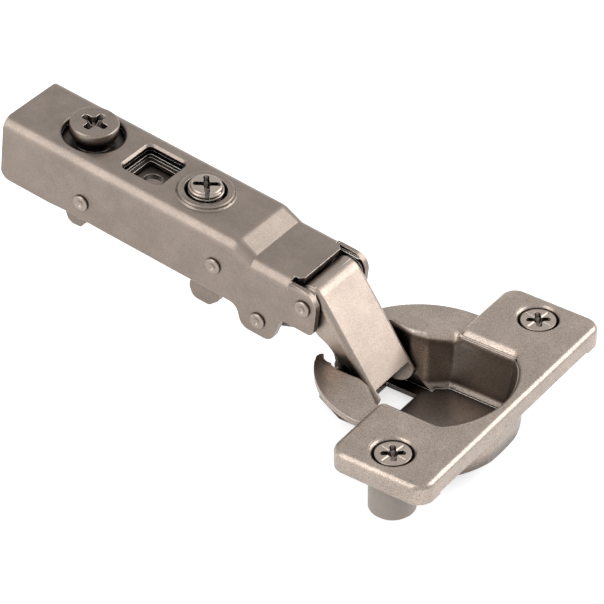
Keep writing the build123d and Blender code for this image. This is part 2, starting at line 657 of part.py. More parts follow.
# Outer link: a folded link whose flanges are cut back where the inner cup pin sweeps past
outer_link_inside = outer_link_face - outer_link_sheet
toe_u = outer_link_length
toe_plane = Plane(link_plane.from_local_coords(Vector(toe_u, 0, 0)), x_dir=link_plane.x_dir,
                  z_dir=link_plane.z_dir)
sweep_start = degrees(atan2(inner_cup_axis.Z - outer_cup_axis.Z, inner_cup_axis.X - outer_cup_axis.X))
sweep_start -= outer_link_angle
swing_factor = 1 - outer_link_share
with BuildPart() as outer_link:
    with BuildSketch(link_plane):
        with BuildLine():
            Line((0, outer_link_face), (toe_u + toe_front, outer_link_face))
            Line((toe_u + toe_front, outer_link_face), (toe_u, -toe_back))
            Line((toe_u, -toe_back), (waist_u + waist_length, -waist_back))
            ThreePointArc((waist_u + waist_length, -waist_back), (waist_u + waist_length / 3, -waist_middle),
                          (waist_u, -waist_neck))
            Line((waist_u, -waist_neck), (0, -outer_link_face))
            Line((0, -outer_link_face), (0, outer_link_face))
        make_face()
        Circle(outer_link_face)
        with Locations((toe_u, 0)):
            Circle(outer_link_toe)
        with BuildLine(mode=Mode.PRIVATE) as pin_path:
            CenterArc((toe_u, 0), cup_pin_spacing, sweep_start - swing_factor * swing_open,
                      swing_factor * (swing_open + swing_closed))
        SlotArc(pin_path.edges()[0], 2 * (pin_radius + body_gap), mode=Mode.SUBTRACT)
        with Locations((toe_u / 2, outer_link_face + toe_u)):
            Rectangle(3 * toe_u, 2 * toe_u, mode=Mode.SUBTRACT)
    extrude(amount=outer_link_half, both=True)
    fold_edges = outer_link.edges().filter_by(
        lambda edge: abs(link_plane.to_local_coords(edge.center()).Y - outer_link_face) < touch
        and abs(abs(edge.center().Y) - outer_link_half) < touch
    )
    fillet(fold_edges, outer_link_bend)
    with BuildSketch(link_plane):
        with Locations((toe_u / 2, 0)):
            Rectangle(3 * toe_u, 3 * toe_u)
        with BuildLine():
            Line((0, outer_link_face), (toe_u + outer_link_foot, outer_link_face))
            Line((toe_u + outer_link_foot, outer_link_face), (toe_u + outer_link_foot, outer_link_inside))
            Line((toe_u + outer_link_foot, outer_link_inside), (0, outer_link_inside))
            inner_wrap = CenterArc((0, 0), outer_link_inside, 90, outer_link_wrap)
            outer_wrap = CenterArc((0, 0), outer_link_face, 90, outer_link_wrap)
            Line(inner_wrap @ 1, outer_wrap @ 1)
        make_face(mode=Mode.SUBTRACT)
    extrude(amount=outer_link_half - outer_link_sheet, both=True, mode=Mode.SUBTRACT)
    with BuildSketch(link_plane):
        with Locations((0, 0), (toe_u, 0)):
            Circle(pin_radius + running_gap)
    extrude(amount=arm_width, both=True, mode=Mode.SUBTRACT)

# Inner link: arched so that it clears both pins of the outer link
slot_x = inner_pin_x + slot_shift_x
slot_z = inner_pin_z + slot_shift_z
slot_height = 2 * (pin_radius + running_gap) + slot_travel_z
slot_length = slot_height + slot_travel_x
eye_height = slot_height + 2 * inner_eye_wall
pin_bearing = degrees(atan2(outer_cup_axis.Z - inner_cup_axis.Z, outer_cup_axis.X - inner_cup_axis.X))
arch = [(slot_x - arch_root, slot_z + eye_height / 2, 0)]
arch += [(outer_pin_x + x, outer_pin_z + z, radius) for x, z, radius in arch_over]
arch += [(inner_cup_axis.X + x, inner_cup_axis.Z + z, radius) for x, z, radius in arch_end]
arch += [(outer_pin_x + x, outer_pin_z + z, radius) for x, z, radius in arch_under]
arch += [(slot_x + x, slot_z + z, radius) for x, z, radius in arch_heel]
arch.append((slot_x - arch_root, slot_z - eye_height / 2, 0))
arch_outline = [(x, z) for x, z, radius in arch]
arch_radii = [radius for x, z, radius in arch]
with BuildPart() as inner_link:
    with BuildSketch(Plane.XZ):
        with BuildLine():
            FilletPolyline(*arch_outline, radius=arch_radii, close=True)
        make_face()
        with Locations((slot_x, slot_z)):
            SlotOverall(slot_length + 2 * inner_eye_wall, eye_height)
        with Locations((inner_cup_axis.X, inner_cup_axis.Z)):
            Circle(cup_eye_radius)
            Circle(pin_radius + running_gap, mode=Mode.SUBTRACT)
        with BuildLine(mode=Mode.PRIVATE) as outer_pin_path:
            CenterArc((inner_cup_axis.X, inner_cup_axis.Z), cup_pin_spacing,
                      pin_bearing - (1 - inner_link_share) * swing_open,
                      (1 - inner_link_share) * (swing_open + swing_closed))
        SlotArc(outer_pin_path.edges()[0], 2 * (pin_radius + body_gap), mode=Mode.SUBTRACT)
        with Locations((slot_x, slot_z)):
            SlotOverall(slot_length, slot_height, mode=Mode.SUBTRACT)
    extrude(amount=inner_link_width / 2, both=True)

# Cup and wing, one pressed sheet: the bowl is drawn down from the wing, its mouth is open to the
# arm, and a flat crescent stands on each side of the mouth, one step below the wing
wing_mid = wing_offset + wing_width / 2
bowl_half = bowl_width / 2
bowl_corner_x = (bowl_radius ** 2 - bowl_half ** 2) ** 0.5
floor_level = cup_floor - cup_depth
heel = [(x, floor_level + rise) for x, rise in neck_heel]


def bowl_mouth(plane, grown):
    """The plan of the bowl's mouth, grown outwards."""
    with BuildSketch(plane, mode=Mode.PRIVATE) as mouth:
        with BuildLine():
            Polyline((neck_shoulder_x, neck_shoulder_half), (bowl_shoulder_x, bowl_half), (bowl_corner_x, bowl_half))
            ThreePointArc((bowl_corner_x, bowl_half), (bowl_radius, 0), (bowl_corner_x, -bowl_half))
            Polyline((bowl_corner_x, -bowl_half), (bowl_shoulder_x, -bowl_half),
                     (neck_shoulder_x, -neck_shoulder_half), (neck_shoulder_x, neck_shoulder_half))
        make_face()
        if grown > 0:
            offset(amount=grown)
    return mouth.sketch


def lip(plane, width):
    """Cut a rolled lip round the bowl's mouth, as two slopes."""
    for grown, slope in ((width, lip_slope), (width / 2, 90 - lip_slope)):
        extrude(bowl_mouth(plane, grown), amount=-width * tan(radians(slope)) / 2, taper=90 - slope,
                mode=Mode.SUBTRACT)


with BuildPart() as bowl_outside:
    with BuildSketch(cup_plane.offset(-cup_depth)):
        Circle(cup_radius)
    extrude(amount=cup_depth - crescent_drop)
    fillet(bowl_outside.edges().sort_by(Axis(cup_plane.origin, cup_plane.z_dir))[0], cup_edge_radius)
    with BuildSketch(cup_plane.offset(-crescent_drop)):
        with BuildLine():
            Polyline(
                (crescent_radius, bowl_half + bowl_sheet), (bowl_shoulder_x - bowl_sheet, bowl_half + bowl_sheet),
                (neck_shoulder_x - bowl_sheet, neck_half + neck_wall), (-crescent_radius, neck_half + neck_wall),
                (-crescent_radius, -neck_half - neck_wall), (neck_shoulder_x - bowl_sheet, -neck_half - neck_wall),
                (bowl_shoulder_x - bowl_sheet, -bowl_half - bowl_sheet),
                (crescent_radius, -bowl_half - bowl_sheet), close=True,
            )
        make_face()
    extrude(amount=crescent_drop - cup_depth - overcut, taper=bowl_outside_draft, mode=Mode.INTERSECT)
    with BuildSketch(cup_side):
        with BuildLine():
            Polyline(
                (heel[0][0] - cup_floor / 2, -cup_depth - overcut), (heel[0][0] - cup_floor / 2, -cup_depth),
                (heel[1][0] - cup_floor, heel[1][1] - cup_floor / 2),
                (heel[2][0] - cup_floor, heel[2][1] - cup_floor),
                (-crescent_radius - overcut, heel[2][1] - cup_floor),
                (-crescent_radius - overcut, -cup_depth - overcut), close=True,
            )
        make_face()
    extrude(amount=crescent_radius, both=True, mode=Mode.SUBTRACT)
with BuildPart() as cup:
    with BuildSketch(cup_plane):
        with Locations((wing_mid, 0)):
            RectangleRounded(wing_width, wing_length, wing_corner)
    extrude(amount=-skirt_depth)
    fillet(cup.faces().sort_by(Axis(cup_plane.origin, cup_plane.z_dir))[-1].edges(), wing_roll)
    with BuildSketch(cup_plane.offset(-skirt_depth)):
        with Locations((wing_mid, 0)):
            RectangleRounded(wing_width - 2 * wing_skirt, wing_length - 2 * wing_skirt, wing_corner - wing_skirt)
    extrude(amount=skirt_depth - wing_sheet, mode=Mode.SUBTRACT)
    with BuildSketch(cup_plane.offset(-skirt_depth)):
        with Locations((wing_offset + wing_width, 0)):
            Rectangle(2 * (wing_skirt + skirt_relief_reach), wing_length - 2 * skirt_ear)
    extrude(amount=skirt_relief, mode=Mode.SUBTRACT)
    with BuildSketch(cup_plane.offset(-crescent_drop)):
        Circle(crescent_radius)
        with Locations((wing_offset + wing_skirt / 2 + crescent_radius, 0)):
            Rectangle(2 * crescent_radius, 3 * crescent_radius, mode=Mode.SUBTRACT)
    extrude(amount=-crescent_sheet)
    add(bowl_outside.part)
    extrude(bowl_mouth(cup_plane.offset(overcut), 0), amount=floor_level - overcut, taper=bowl_draft,
            mode=Mode.SUBTRACT)
    lip(cup_plane, bowl_lip)
    lip(cup_plane.offset(-crescent_drop), crescent_lip)
    with BuildSketch(cup_side):
        with BuildLine():
            Polyline((0, overcut), (0, floor_level), *heel, (-crescent_radius - overcut, heel[2][1]),
                     (-crescent_radius - overcut, overcut), close=True)
        make_face()
    extrude(amount=neck_half, both=True, mode=Mode.SUBTRACT)
    with BuildSketch(cup_plane.offset(overcut)):
        with Locations((neck_shoulder_x - crescent_radius / 2, 0)):
            Rectangle(crescent_radius, neck_mouth_width + 2 * overcut * tan(radians(neck_flare)))
    extrude(amount=-neck_flare_depth - overcut, taper=neck_flare, mode=Mode.SUBTRACT)
    with BuildSketch(cup_plane.offset(-cup_depth - overcut)):
        with Locations((floor_window_x, 0)):
            Rectangle(floor_window_length, floor_window_width)
    extrude(amount=cup_floor + 2 * overcut, mode=Mode.SUBTRACT)
    with BuildSketch(cup_side):
        with Locations((outer_cup_pin_x, outer_cup_pin_z), (inner_cup_pin_x, inner_cup_pin_z)):
            Circle(pin_radius + fixed_gap)
    extrude(amount=cup_pin_half + cup_pin_room, both=True, mode=Mode.SUBTRACT)
    countersink_radius = screw_head_radius + screw_head_recess + countersink_gap
    with BuildSketch(cup_plane.offset(overcut)):
        with Locations((screw_x, -screw_pitch / 2), (screw_x, screw_pitch / 2)):
            Circle(countersink_radius + overcut * tan(radians(countersink_slope)))
    extrude(amount=-wing_sheet - 2 * overcut, taper=countersink_slope, mode=Mode.SUBTRACT)

outer_cup_pin = cross_pin(outer_cup_axis.X, outer_cup_axis.Z, cup_pin_half)
inner_cup_pin = cross_pin(inner_cup_axis.X, inner_cup_axis.Z, cup_pin_half)


def screw_plane(side):
    """The plane of a wing screw, in the wing's top face."""
    return Plane(cup_plane.from_local_coords(Vector(screw_x, side * screw_pitch / 2, 0)),
                 x_dir=cup_plane.x_dir, z_dir=cup_plane.z_dir)


def dowel(side):
    """A dowel under the wing, bored for the screw."""
    bore = screw_shank_radius + running_gap
    bore_end = -screw_length - dowel_tip_room
    seat_end = -screw_head_recess - (screw_head_radius - screw_shank_radius) - body_gap
    top = -wing_sheet - fixed_gap
    return turned(screw_plane(side), [
        (bore, seat_end), (bore, bore_end), (dowel_vent_radius, bore_end), (dowel_vent_radius, -dowel_depth),
        (dowel_radius - dowel_chamfer, -dowel_depth), (dowel_radius, dowel_chamfer - dowel_depth),
        (dowel_radius, top), (screw_head_radius - dowel_seat_step, top),
    ])


def wing_screw(side):
    """A countersunk screw with a cross recess."""
    head_top = -screw_head_recess
    rim = screw_head_radius - screw_rim
    cone_end = head_top - (screw_head_radius - screw_shank_radius) - screw_rim
    with BuildPart() as piece:
        add(turned(screw_plane(side), [
            (0, head_top), (rim, head_top), (rim, head_top - screw_rim_height), (screw_shank_radius, cone_end),
            (screw_shank_radius, screw_point - screw_length),
            (screw_shank_radius - screw_point_step, -screw_length), (0, -screw_length),
        ]).part)
        cross_recess(screw_plane(side).offset(head_top), *screw_recess)
    return piece


def spacer(side):
    """A washer between the outer link and the arm's cheek."""
    middle = Vector(0, side * (outer_link_half + arm_inside) / 2, 0)
    half = spacer_thickness / 2
    bore = pin_radius + fixed_gap
    plane = Plane(arm_pin + middle, x_dir=(1, 0, 0), z_dir=(0, -1, 0))
    return turned(plane, [(bore, -half), (spacer_radius, -half), (spacer_radius, half), (bore, half)])


pieces = {
    "arm": arm, "clip_carriage": clip_carriage, "saddle_plate": saddle_plate, "tilt_pin": tilt_pin,
    "guide_pin": guide_pin, "inner_link_pin": inner_link_pin, "outer_link_pin": outer_link_pin,
    "near_spacer": spacer(-1), "far_spacer": spacer(1), "cam_screw": cam_screw, "side_screw": side_screw,
    "catch_lever": catch_lever, "catch_pin": catch_pin, "catch_spring": catch_spring,
    "near_closing_spring": near_closing_spring, "far_closing_spring": far_closing_spring,
    "damper_cylinder": damper_cylinder, "damper_rod": damper_rod, "outer_link": outer_link,
    "inner_link": inner_link, "cup": cup, "outer_cup_pin": outer_cup_pin, "inner_cup_pin": inner_cup_pin,
    "near_dowel": dowel(-1), "far_dowel": dowel(1), "near_wing_screw": wing_screw(-1),
    "far_wing_screw": wing_screw(1),
}
os.makedirs("parts", exist_ok=True)
for name, piece in pieces.items():
    piece.part.label = name
    export_step(piece.part, f"parts/{name}.step")
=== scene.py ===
"""Soft-close cup hinge in satin nickel: finishes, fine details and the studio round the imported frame."""
from math import asin, cos, pi, radians, sin, sqrt, tan

import bmesh
import bpy
from mathutils import Matrix, Vector


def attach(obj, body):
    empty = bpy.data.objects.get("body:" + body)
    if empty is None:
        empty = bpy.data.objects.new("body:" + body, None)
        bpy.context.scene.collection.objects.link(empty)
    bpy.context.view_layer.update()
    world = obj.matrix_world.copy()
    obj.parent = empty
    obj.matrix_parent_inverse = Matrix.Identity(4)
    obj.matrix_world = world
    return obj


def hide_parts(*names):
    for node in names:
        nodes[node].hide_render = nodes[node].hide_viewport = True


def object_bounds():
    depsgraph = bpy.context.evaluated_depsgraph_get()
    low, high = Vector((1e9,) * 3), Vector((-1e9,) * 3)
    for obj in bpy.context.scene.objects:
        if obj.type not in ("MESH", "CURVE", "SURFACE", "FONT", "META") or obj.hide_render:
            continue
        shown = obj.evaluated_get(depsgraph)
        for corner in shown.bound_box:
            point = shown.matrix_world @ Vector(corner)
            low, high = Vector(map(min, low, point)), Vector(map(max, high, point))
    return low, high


bl_info = {
    "name": "Cup hinge dresser",
    "version": (1, 0, 0),
    "blender": (4, 5, 0),
    "location": "View3D > Sidebar > Cup hinge",
    "description": "Dresses a soft-close cup hinge in satin nickel and sets its studio",
    "category": "Object",
}

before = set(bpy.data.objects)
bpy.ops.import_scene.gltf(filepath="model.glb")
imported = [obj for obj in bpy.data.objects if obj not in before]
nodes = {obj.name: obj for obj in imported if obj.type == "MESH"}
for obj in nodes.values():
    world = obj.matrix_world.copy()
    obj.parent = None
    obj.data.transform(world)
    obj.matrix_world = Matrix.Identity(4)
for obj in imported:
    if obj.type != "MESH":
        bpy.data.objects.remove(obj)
cad_low, cad_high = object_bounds()
mm = 0.001


# Settings a user would change

class HingeFinishSettings(bpy.types.PropertyGroup):
    """Colours and surface of the metals and plastics."""

    nickel: bpy.props.FloatVectorProperty(
        name="Nickel", description="Satin nickel on the arm, links and wing", subtype="COLOR",
        size=3, min=0, max=1, default=(0.275, 0.231, 0.2))
    nickel_dark: bpy.props.FloatVectorProperty(
        name="Nickel, dark grains", description="Darker grains of the nickel's mottling", subtype="COLOR",
        size=3, min=0, max=1, default=(0.225, 0.186, 0.158))
    # Bright nickel on the edges: partly real burnish, partly a painted highlight.
    bright: bpy.props.FloatVectorProperty(
        name="Bright nickel", description="Burnished edges and pressed rims", subtype="COLOR",
        size=3, min=0, max=1, default=(0.62, 0.57, 0.52))
    cup: bpy.props.FloatVectorProperty(
        name="Cup nickel", description="Drawn nickel inside the cup, a little browner", subtype="COLOR",
        size=3, min=0, max=1, default=(0.45, 0.38, 0.33))
    steel: bpy.props.FloatVectorProperty(
        name="Spring steel", description="Springs and pins out of sight", subtype="COLOR",
        size=3, min=0, max=1, default=(0.24, 0.22, 0.2))
    dowel: bpy.props.FloatVectorProperty(
        name="Dowel", description="Grey dowel under the wing", subtype="COLOR",
        size=3, min=0, max=1, default=(0.31, 0.265, 0.23))
    damper: bpy.props.FloatVectorProperty(
        name="Damper", description="Plastic of the damper", subtype="COLOR",
        size=3, min=0, max=1, default=(0.11, 0.11, 0.11))
    roughness: bpy.props.FloatProperty(
        name="Satin roughness", description="Mean roughness of the satin nickel",
        min=0.05, max=1, default=0.34)
    grain: bpy.props.FloatProperty(
        name="Grain", description="Size of the nickel's finest grains", unit="LENGTH", default=0.22 * mm)
    edge: bpy.props.FloatProperty(
        name="Edge", description="Radius of the softened edges", unit="LENGTH", default=0.16 * mm)


class HingeStageSettings(bpy.types.PropertyGroup):
    """Camera, lamps and floor."""

    camera_place: bpy.props.FloatVectorProperty(
        name="Camera place", description="Where the camera stands", subtype="XYZ", unit="LENGTH", size=3,
        default=(251.37 * mm, -363.78 * mm, 353.37 * mm))
    camera_forward: bpy.props.FloatVectorProperty(
        name="Camera direction", description="Where the camera looks", subtype="DIRECTION", size=3,
        default=(-0.39115, 0.65318, -0.64835))
    camera_right: bpy.props.FloatVectorProperty(
        name="Camera right", description="The picture's own rightward direction",
        subtype="DIRECTION", size=3, default=(0.80835, 0.58061, 0.09727))
    lens: bpy.props.FloatProperty(
        name="Lens", description="Focal length in millimetres on a 36 mm sensor", min=10, default=190.7)
    floor_size: bpy.props.FloatProperty(
        name="Floor size", description="Side of the floor", unit="LENGTH", default=6.0)
    floor_colour: bpy.props.FloatVectorProperty(
        name="Floor colour", description="Pale floor", subtype="COLOR", size=3, min=0, max=1,
        default=(0.8, 0.8, 0.8))
    floor_glow: bpy.props.FloatProperty(
        name="Floor glow", description="What the lens sees on top of the floor's own shade",
        min=0, default=0.6)
    world_light: bpy.props.FloatProperty(
        name="World light", description="Strength of the soft light from all round", min=0, default=0.7)
    key_light: bpy.props.FloatProperty(
        name="Key light", description="Power of the softbox behind the hinge", unit="POWER", default=3.2)
    fill_light: bpy.props.FloatProperty(
        name="Fill light", description="Power of the softbox at the front left", unit="POWER", default=3.0)


# Node helpers

def add_node(tree, kind, values=None, **settings):
    """Adds a node, sets its attributes and then its inputs by socket name or number."""
    made = tree.nodes.new(kind)
    for name, value in settings.items():
        setattr(made, name, value)
    for name, value in (values or {}).items():
        made.inputs[name].default_value = value
    return made


def link(tree, source, target):
    """Links an output socket to an input socket."""
    tree.links.new(source, target)


def worked_out(tree, operation, first, second):
    """What a math node makes of two linked values."""
    node = add_node(tree, "ShaderNodeMath", operation=operation)
    link(tree, first, node.inputs[0])
    link(tree, second, node.inputs[1])
    return node.outputs["Value"]


def multiplied(tree, colour, factor):
    """A colour times another colour or a number."""
    product = add_node(tree, "ShaderNodeMix", {"Factor": 1.0}, data_type="RGBA", blend_type="MULTIPLY")
    link(tree, colour, product.inputs["A"])
    link(tree, factor, product.inputs["B"])
    return product.outputs["Result"]


def grain_noise(tree, coords, size, detail, rough=0.6):
    """A noise whose features measure about size metres."""
    noise = add_node(tree, "ShaderNodeTexNoise", {"Scale": 1 / size, "Detail": detail, "Roughness": rough})
    link(tree, coords.outputs["Object"], noise.inputs["Vector"])
    return noise


def ramp_between(tree, factor, low, high, start=0.3, end=0.7):
    """A colour that runs from low to high while the factor runs from start to end."""
    ramp = add_node(tree, "ShaderNodeValToRGB")
    ramp.color_ramp.elements[0].position = start
    ramp.color_ramp.elements[0].color = (*low, 1)
    ramp.color_ramp.elements[1].position = end
    ramp.color_ramp.elements[1].color = (*high, 1)
    link(tree, factor, ramp.inputs["Fac"])
    return ramp


def edge_mask(tree, radius):
    """White along the edges: how far the rounded normal turns from the flat one."""
    rounded = add_node(tree, "ShaderNodeBevel", {"Radius": radius}, samples=6)
    flat = add_node(tree, "ShaderNodeNewGeometry")
    dot = add_node(tree, "ShaderNodeVectorMath", operation="DOT_PRODUCT")
    link(tree, rounded.outputs["Normal"], dot.inputs[0])
    link(tree, flat.outputs["Normal"], dot.inputs[1])
    unmarked, worn_and_highlit = 0.995, 0.8    # cosines of the turn where the mask starts and where it is full
    mask = add_node(tree, "ShaderNodeMapRange",
                    {"From Min": unmarked, "From Max": worn_and_highlit, "To Min": 0, "To Max": 1})
    link(tree, dot.outputs["Value"], mask.inputs["Value"])
    return rounded, mask


def inside_box(tree, coords, middle, half, share):
    """A share of the light inside a box, and all of it elsewhere."""
    away = add_node(tree, "ShaderNodeVectorMath", {1: middle}, operation="SUBTRACT")
    link(tree, coords.outputs["Object"], away.inputs[0])
    size = add_node(tree, "ShaderNodeVectorMath", operation="ABSOLUTE")
    link(tree, away.outputs["Vector"], size.inputs[0])
    part = add_node(tree, "ShaderNodeVectorMath", {1: half}, operation="DIVIDE")
    link(tree, size.outputs["Vector"], part.inputs[0])
    axes = add_node(tree, "ShaderNodeSeparateXYZ")
    link(tree, part.outputs["Vector"], axes.inputs[0])
    most = axes.outputs["X"]
    for axis in ("Y", "Z"):
        most = worked_out(tree, "MAXIMUM", most, axes.outputs[axis])
    rim = 0.97    # where the light starts to come back, as a share of the half size
    light = add_node(tree, "ShaderNodeMapRange",
                     {"From Min": rim, "From Max": 1.0, "To Min": share, "To Max": 1.0})
    link(tree, most, light.inputs["Value"])
    return light.outputs["Result"]


def below_plane(tree, coords, normal, zero, start, end, share):
    """All of the light down to a start depth below the zero level, and a share of it from an end depth on."""
    level = add_node(tree, "ShaderNodeVectorMath", {1: normal}, operation="DOT_PRODUCT")
    link(tree, coords.outputs["Object"], level.inputs[0])
    light = add_node(tree, "ShaderNodeMapRange", {
        "From Min": zero - end * mm, "From Max": zero - start * mm, "To Min": share, "To Max": 1.0})
    link(tree, level.outputs["Value"], light.inputs["Value"])
    return light.outputs["Result"]


def started(name):
    """A new material with its node tree, its shader and its object coordinates."""
    material = bpy.data.materials.new(name)
    material.use_nodes = True
    tree = material.node_tree
    return material, tree, tree.nodes["Principled BSDF"], add_node(tree, "ShaderNodeTexCoord")


def grained(tree, shader, fine, rounded, matt, glossy, bump, depth):
    """Lets the fine grains vary the shader's gloss, and its relief on the softened edges."""
    gloss = add_node(tree, "ShaderNodeMapRange",
                     {"From Min": 0.3, "From Max": 0.7, "To Min": matt, "To Max": glossy})
    link(tree, fine.outputs["Fac"], gloss.inputs["Value"])
    link(tree, gloss.outputs["Result"], shader.inputs["Roughness"])
    relief = add_node(tree, "ShaderNodeBump", {"Strength": bump, "Distance": depth})
    link(tree, fine.outputs["Fac"], relief.inputs["Height"])
    link(tree, rounded.outputs["Normal"], relief.inputs["Normal"])
    link(tree, relief.outputs["Normal"], shader.inputs["Normal"])


def metal(name, light, dark, worn_and_highlit, rough, grain, edge, bump=0.12,
          painted_shade_reach=3.5, painted_shade_open=0.85, painted_depth_shade=None):
    """Mottled satin metal: grains and clouds in its colour and gloss, edges brightened partly by burnish and
    partly by a painted highlight, and painted shade in its nooks and depths.
    """
    cloud_grains = 22    # fine grains across one cloud
    cloud_dark, cloud_light = (0.88, 0.88, 0.88), (1.08, 1.07, 1.06)
    painted_shade_shut, darkest_painted_shade = 0.2, 0.06    # painted shade: the occlusion of a closed nook and the light painted there
    matt, glossy, relief = 1.2, 0.85, 0.05    # of the roughness and the grain
    material, tree, shader, coords = started(name)
    shader.inputs["Metallic"].default_value = 1.0
    fine = grain_noise(tree, coords, grain, 6)
    cloud = grain_noise(tree, coords, grain * cloud_grains, 3)
    colour = ramp_between(tree, fine.outputs["Fac"], dark, light, 0.32, 0.62)
    shade = ramp_between(tree, cloud.outputs["Fac"], cloud_dark, cloud_light)
    mottled = multiplied(tree, colour.outputs["Color"], shade.outputs["Color"])
    # Painted shade: ambient occlusion darkens the colour in nooks, creases and between parts.
    painted_nook_shade = add_node(tree, "ShaderNodeAmbientOcclusion", {"Distance": painted_shade_reach * mm}, samples=8)
    painted_shade_level = add_node(tree, "ShaderNodeMapRange",
                    {"From Min": painted_shade_shut, "From Max": painted_shade_open, "To Min": darkest_painted_shade, "To Max": 1.0})
    link(tree, painted_nook_shade.outputs["AO"], painted_shade_level.inputs["Value"])
    shaded = multiplied(tree, mottled, painted_shade_level.outputs["Result"])
    # Painted shade in the depths, when a finish asks for it.
    if painted_depth_shade:
        shaded = multiplied(tree, shaded, painted_depth_shade[0](tree, coords, *painted_depth_shade[1:]))
    # Edges partly burnished and partly given a painted highlight: the edge mask mixes in the bright nickel.
    rounded, mask = edge_mask(tree, edge)
    burnished_and_highlit = add_node(tree, "ShaderNodeMix", {"B": (*worn_and_highlit, 1)}, data_type="RGBA")
    link(tree, mask.outputs["Result"], burnished_and_highlit.inputs["Factor"])
    link(tree, shaded, burnished_and_highlit.inputs["A"])
    link(tree, burnished_and_highlit.outputs["Result"], shader.inputs["Base Color"])
    grained(tree, shader, fine, rounded, rough * matt, rough * glossy, bump, grain * relief)
    return material


def plastic(name, colour, rough, grain, edge):
    """Moulded plastic with a faint matt grain and softened edges."""
    specular, darker, bump = 0.45, 0.86, 0.3
    matt, glossy, relief = 1.15, 0.9, 0.08    # of the roughness and the grain
    material, tree, shader, coords = started(name)
    shader.inputs["Specular IOR Level"].default_value = specular
    fine = grain_noise(tree, coords, grain, 4)
    tone = ramp_between(tree, fine.outputs["Fac"], toned(colour, darker), colour)
    link(tree, tone.outputs["Color"], shader.inputs["Base Color"])
    rounded = add_node(tree, "ShaderNodeBevel", {"Radius": edge}, samples=6)
    grained(tree, shader, fine, rounded, rough * matt, rough * glossy, bump, grain * relief)
    return material


def toned(colour, share):
    """A colour with each of its parts multiplied by a share."""
    return tuple(share * part for part in colour)


def finish_named(name):
    """The hinge's finishes, each made once."""
    found = bpy.data.materials.get(f"dressed_{name}")
    if found:
        return found
    material = make_finish(name)
    material.name = f"dressed_{name}"
    return material


def make_finish(name):
    """A new material for one finish, from the settings."""
    look = bpy.context.scene.hinge_finish
    light, dark, bright = tuple(look.nickel), tuple(look.nickel_dark), tuple(look.bright)
    rough, grain, edge = look.roughness, look.grain, look.edge
    if name == "satin_nickel":
        # Painted shade round the walls of the holes in the arm's top: a box's middle, its half sizes and its
        # light
        painted_hole_shade = (inside_box, (-0.002, 0, 0.0036), (0.025, 0.0066, 0.0007), 0.1)
        return metal(name, light, dark, bright, rough, grain, edge, painted_depth_shade=painted_hole_shade)
    # Nickel with far-reaching painted shade in its nooks, for the carriage, saddle plate and catch lever.
    if name == "painted_shade_nickel":
        return metal(name, light, dark, bright, rough, grain, edge, painted_shade_reach=9, painted_shade_open=0.95)
    if name == "cam_nickel":
        return metal(name, light, toned(dark, 0.9), bright, rough * 0.85, grain, edge, bump=0.2)
    if name == "link_nickel":
        return metal(name, toned(light, 1.34), toned(dark, 1.3), bright, rough, grain * 1.3, edge, bump=0.25)
    if name == "cup_nickel":
        up = cup_place.col[2].xyz.normalized()
        zero = cup_place.translation.dot(up) * mm
        bowl = (below_plane, tuple(up), zero, 8.7, 11.0, 0.42)    # painted shade down the bowl: start and end depths of the shade, and its light
        return metal(name, tuple(look.cup), dark, bright, rough * 0.9, grain, edge,
                     painted_shade_reach=7, painted_shade_open=0.9, painted_depth_shade=bowl)
    if name == "screw_nickel":
        return metal(name, toned(light, 1.5), toned(light, 1.3), bright, rough * 0.8, grain * 0.8,
                     edge * 0.7, bump=0.15)
    if name == "pin_steel":
        return metal(name, toned(light, 1.25), light, bright, rough * 0.85, grain * 0.8,
                     edge * 0.7, bump=0.15)
    if name == "spring_steel":
        wire = tuple(look.steel)
        return metal(name, wire, toned(wire, 0.8), light, 0.3, grain, edge * 0.4, bump=0.1)
    if name == "dowel_plastic":
        return plastic(name, tuple(look.dowel), 0.42, grain * 1.5, edge)
    if name == "damper_plastic":
        return plastic(name, tuple(look.damper), 0.45, grain * 1.5, edge)
    raise RuntimeError(f"no finish named {name}")


def dress(finish, *names):
    """Gives CAD nodes their finish, in every material slot of the object."""
    material = finish_named(finish)
    for name in names:
        piece = nodes[name]
        if not piece.material_slots:
            piece.data.materials.append(None)
        for slot in piece.material_slots:
            slot.link = "OBJECT"
            slot.material = material


# Geometry helpers: everything is drawn in millimetres and set in the row frame

def frame_at(origin, tilt=0.0):
    """Row frame of a place whose x axis is tilted up by a number of degrees."""
    turn = Matrix.Rotation(-radians(tilt), 4, "Y")
    return Matrix.Translation(Vector(origin)) @ turn


def new_piece(name, vertices, faces, place=Matrix()):
    """An object from points in millimetres in a placed frame."""
    mesh = bpy.data.meshes.new(name)
    mesh.from_pydata([mm * (place @ Vector(v)) for v in vertices], [], faces)
    outside = bmesh.new()
    outside.from_mesh(mesh)
    bmesh.ops.recalc_face_normals(outside, faces=outside.faces)
    outside.to_mesh(mesh)
    outside.free()
    piece = bpy.data.objects.new(name, mesh)
    bpy.context.scene.collection.objects.link(piece)
    return piece


def turned(name, profile, place=Matrix(), steps=72):
    """A closed turned piece: radius and height pairs from the axis at its foot to the axis at its top."""
    vertices, rings = [], []
    for radius, height in profile:
        if radius == 0:
            rings.append([len(vertices)] * steps)
            vertices.append((0, 0, height))
        else:
            rings.append(list(range(len(vertices), len(vertices) + steps)))
            for step in range(steps):
                angle = 2 * pi * step / steps
                vertices.append((radius * cos(angle), radius * sin(angle), height))
    faces = []
    for low, high in zip(rings, rings[1:]):
        for step in range(steps):
            after = (step + 1) % steps
            corners = list(dict.fromkeys((low[step], low[after], high[after], high[step])))
            if len(corners) > 2:
                faces.append(corners)
    return new_piece(name, vertices, faces, place)


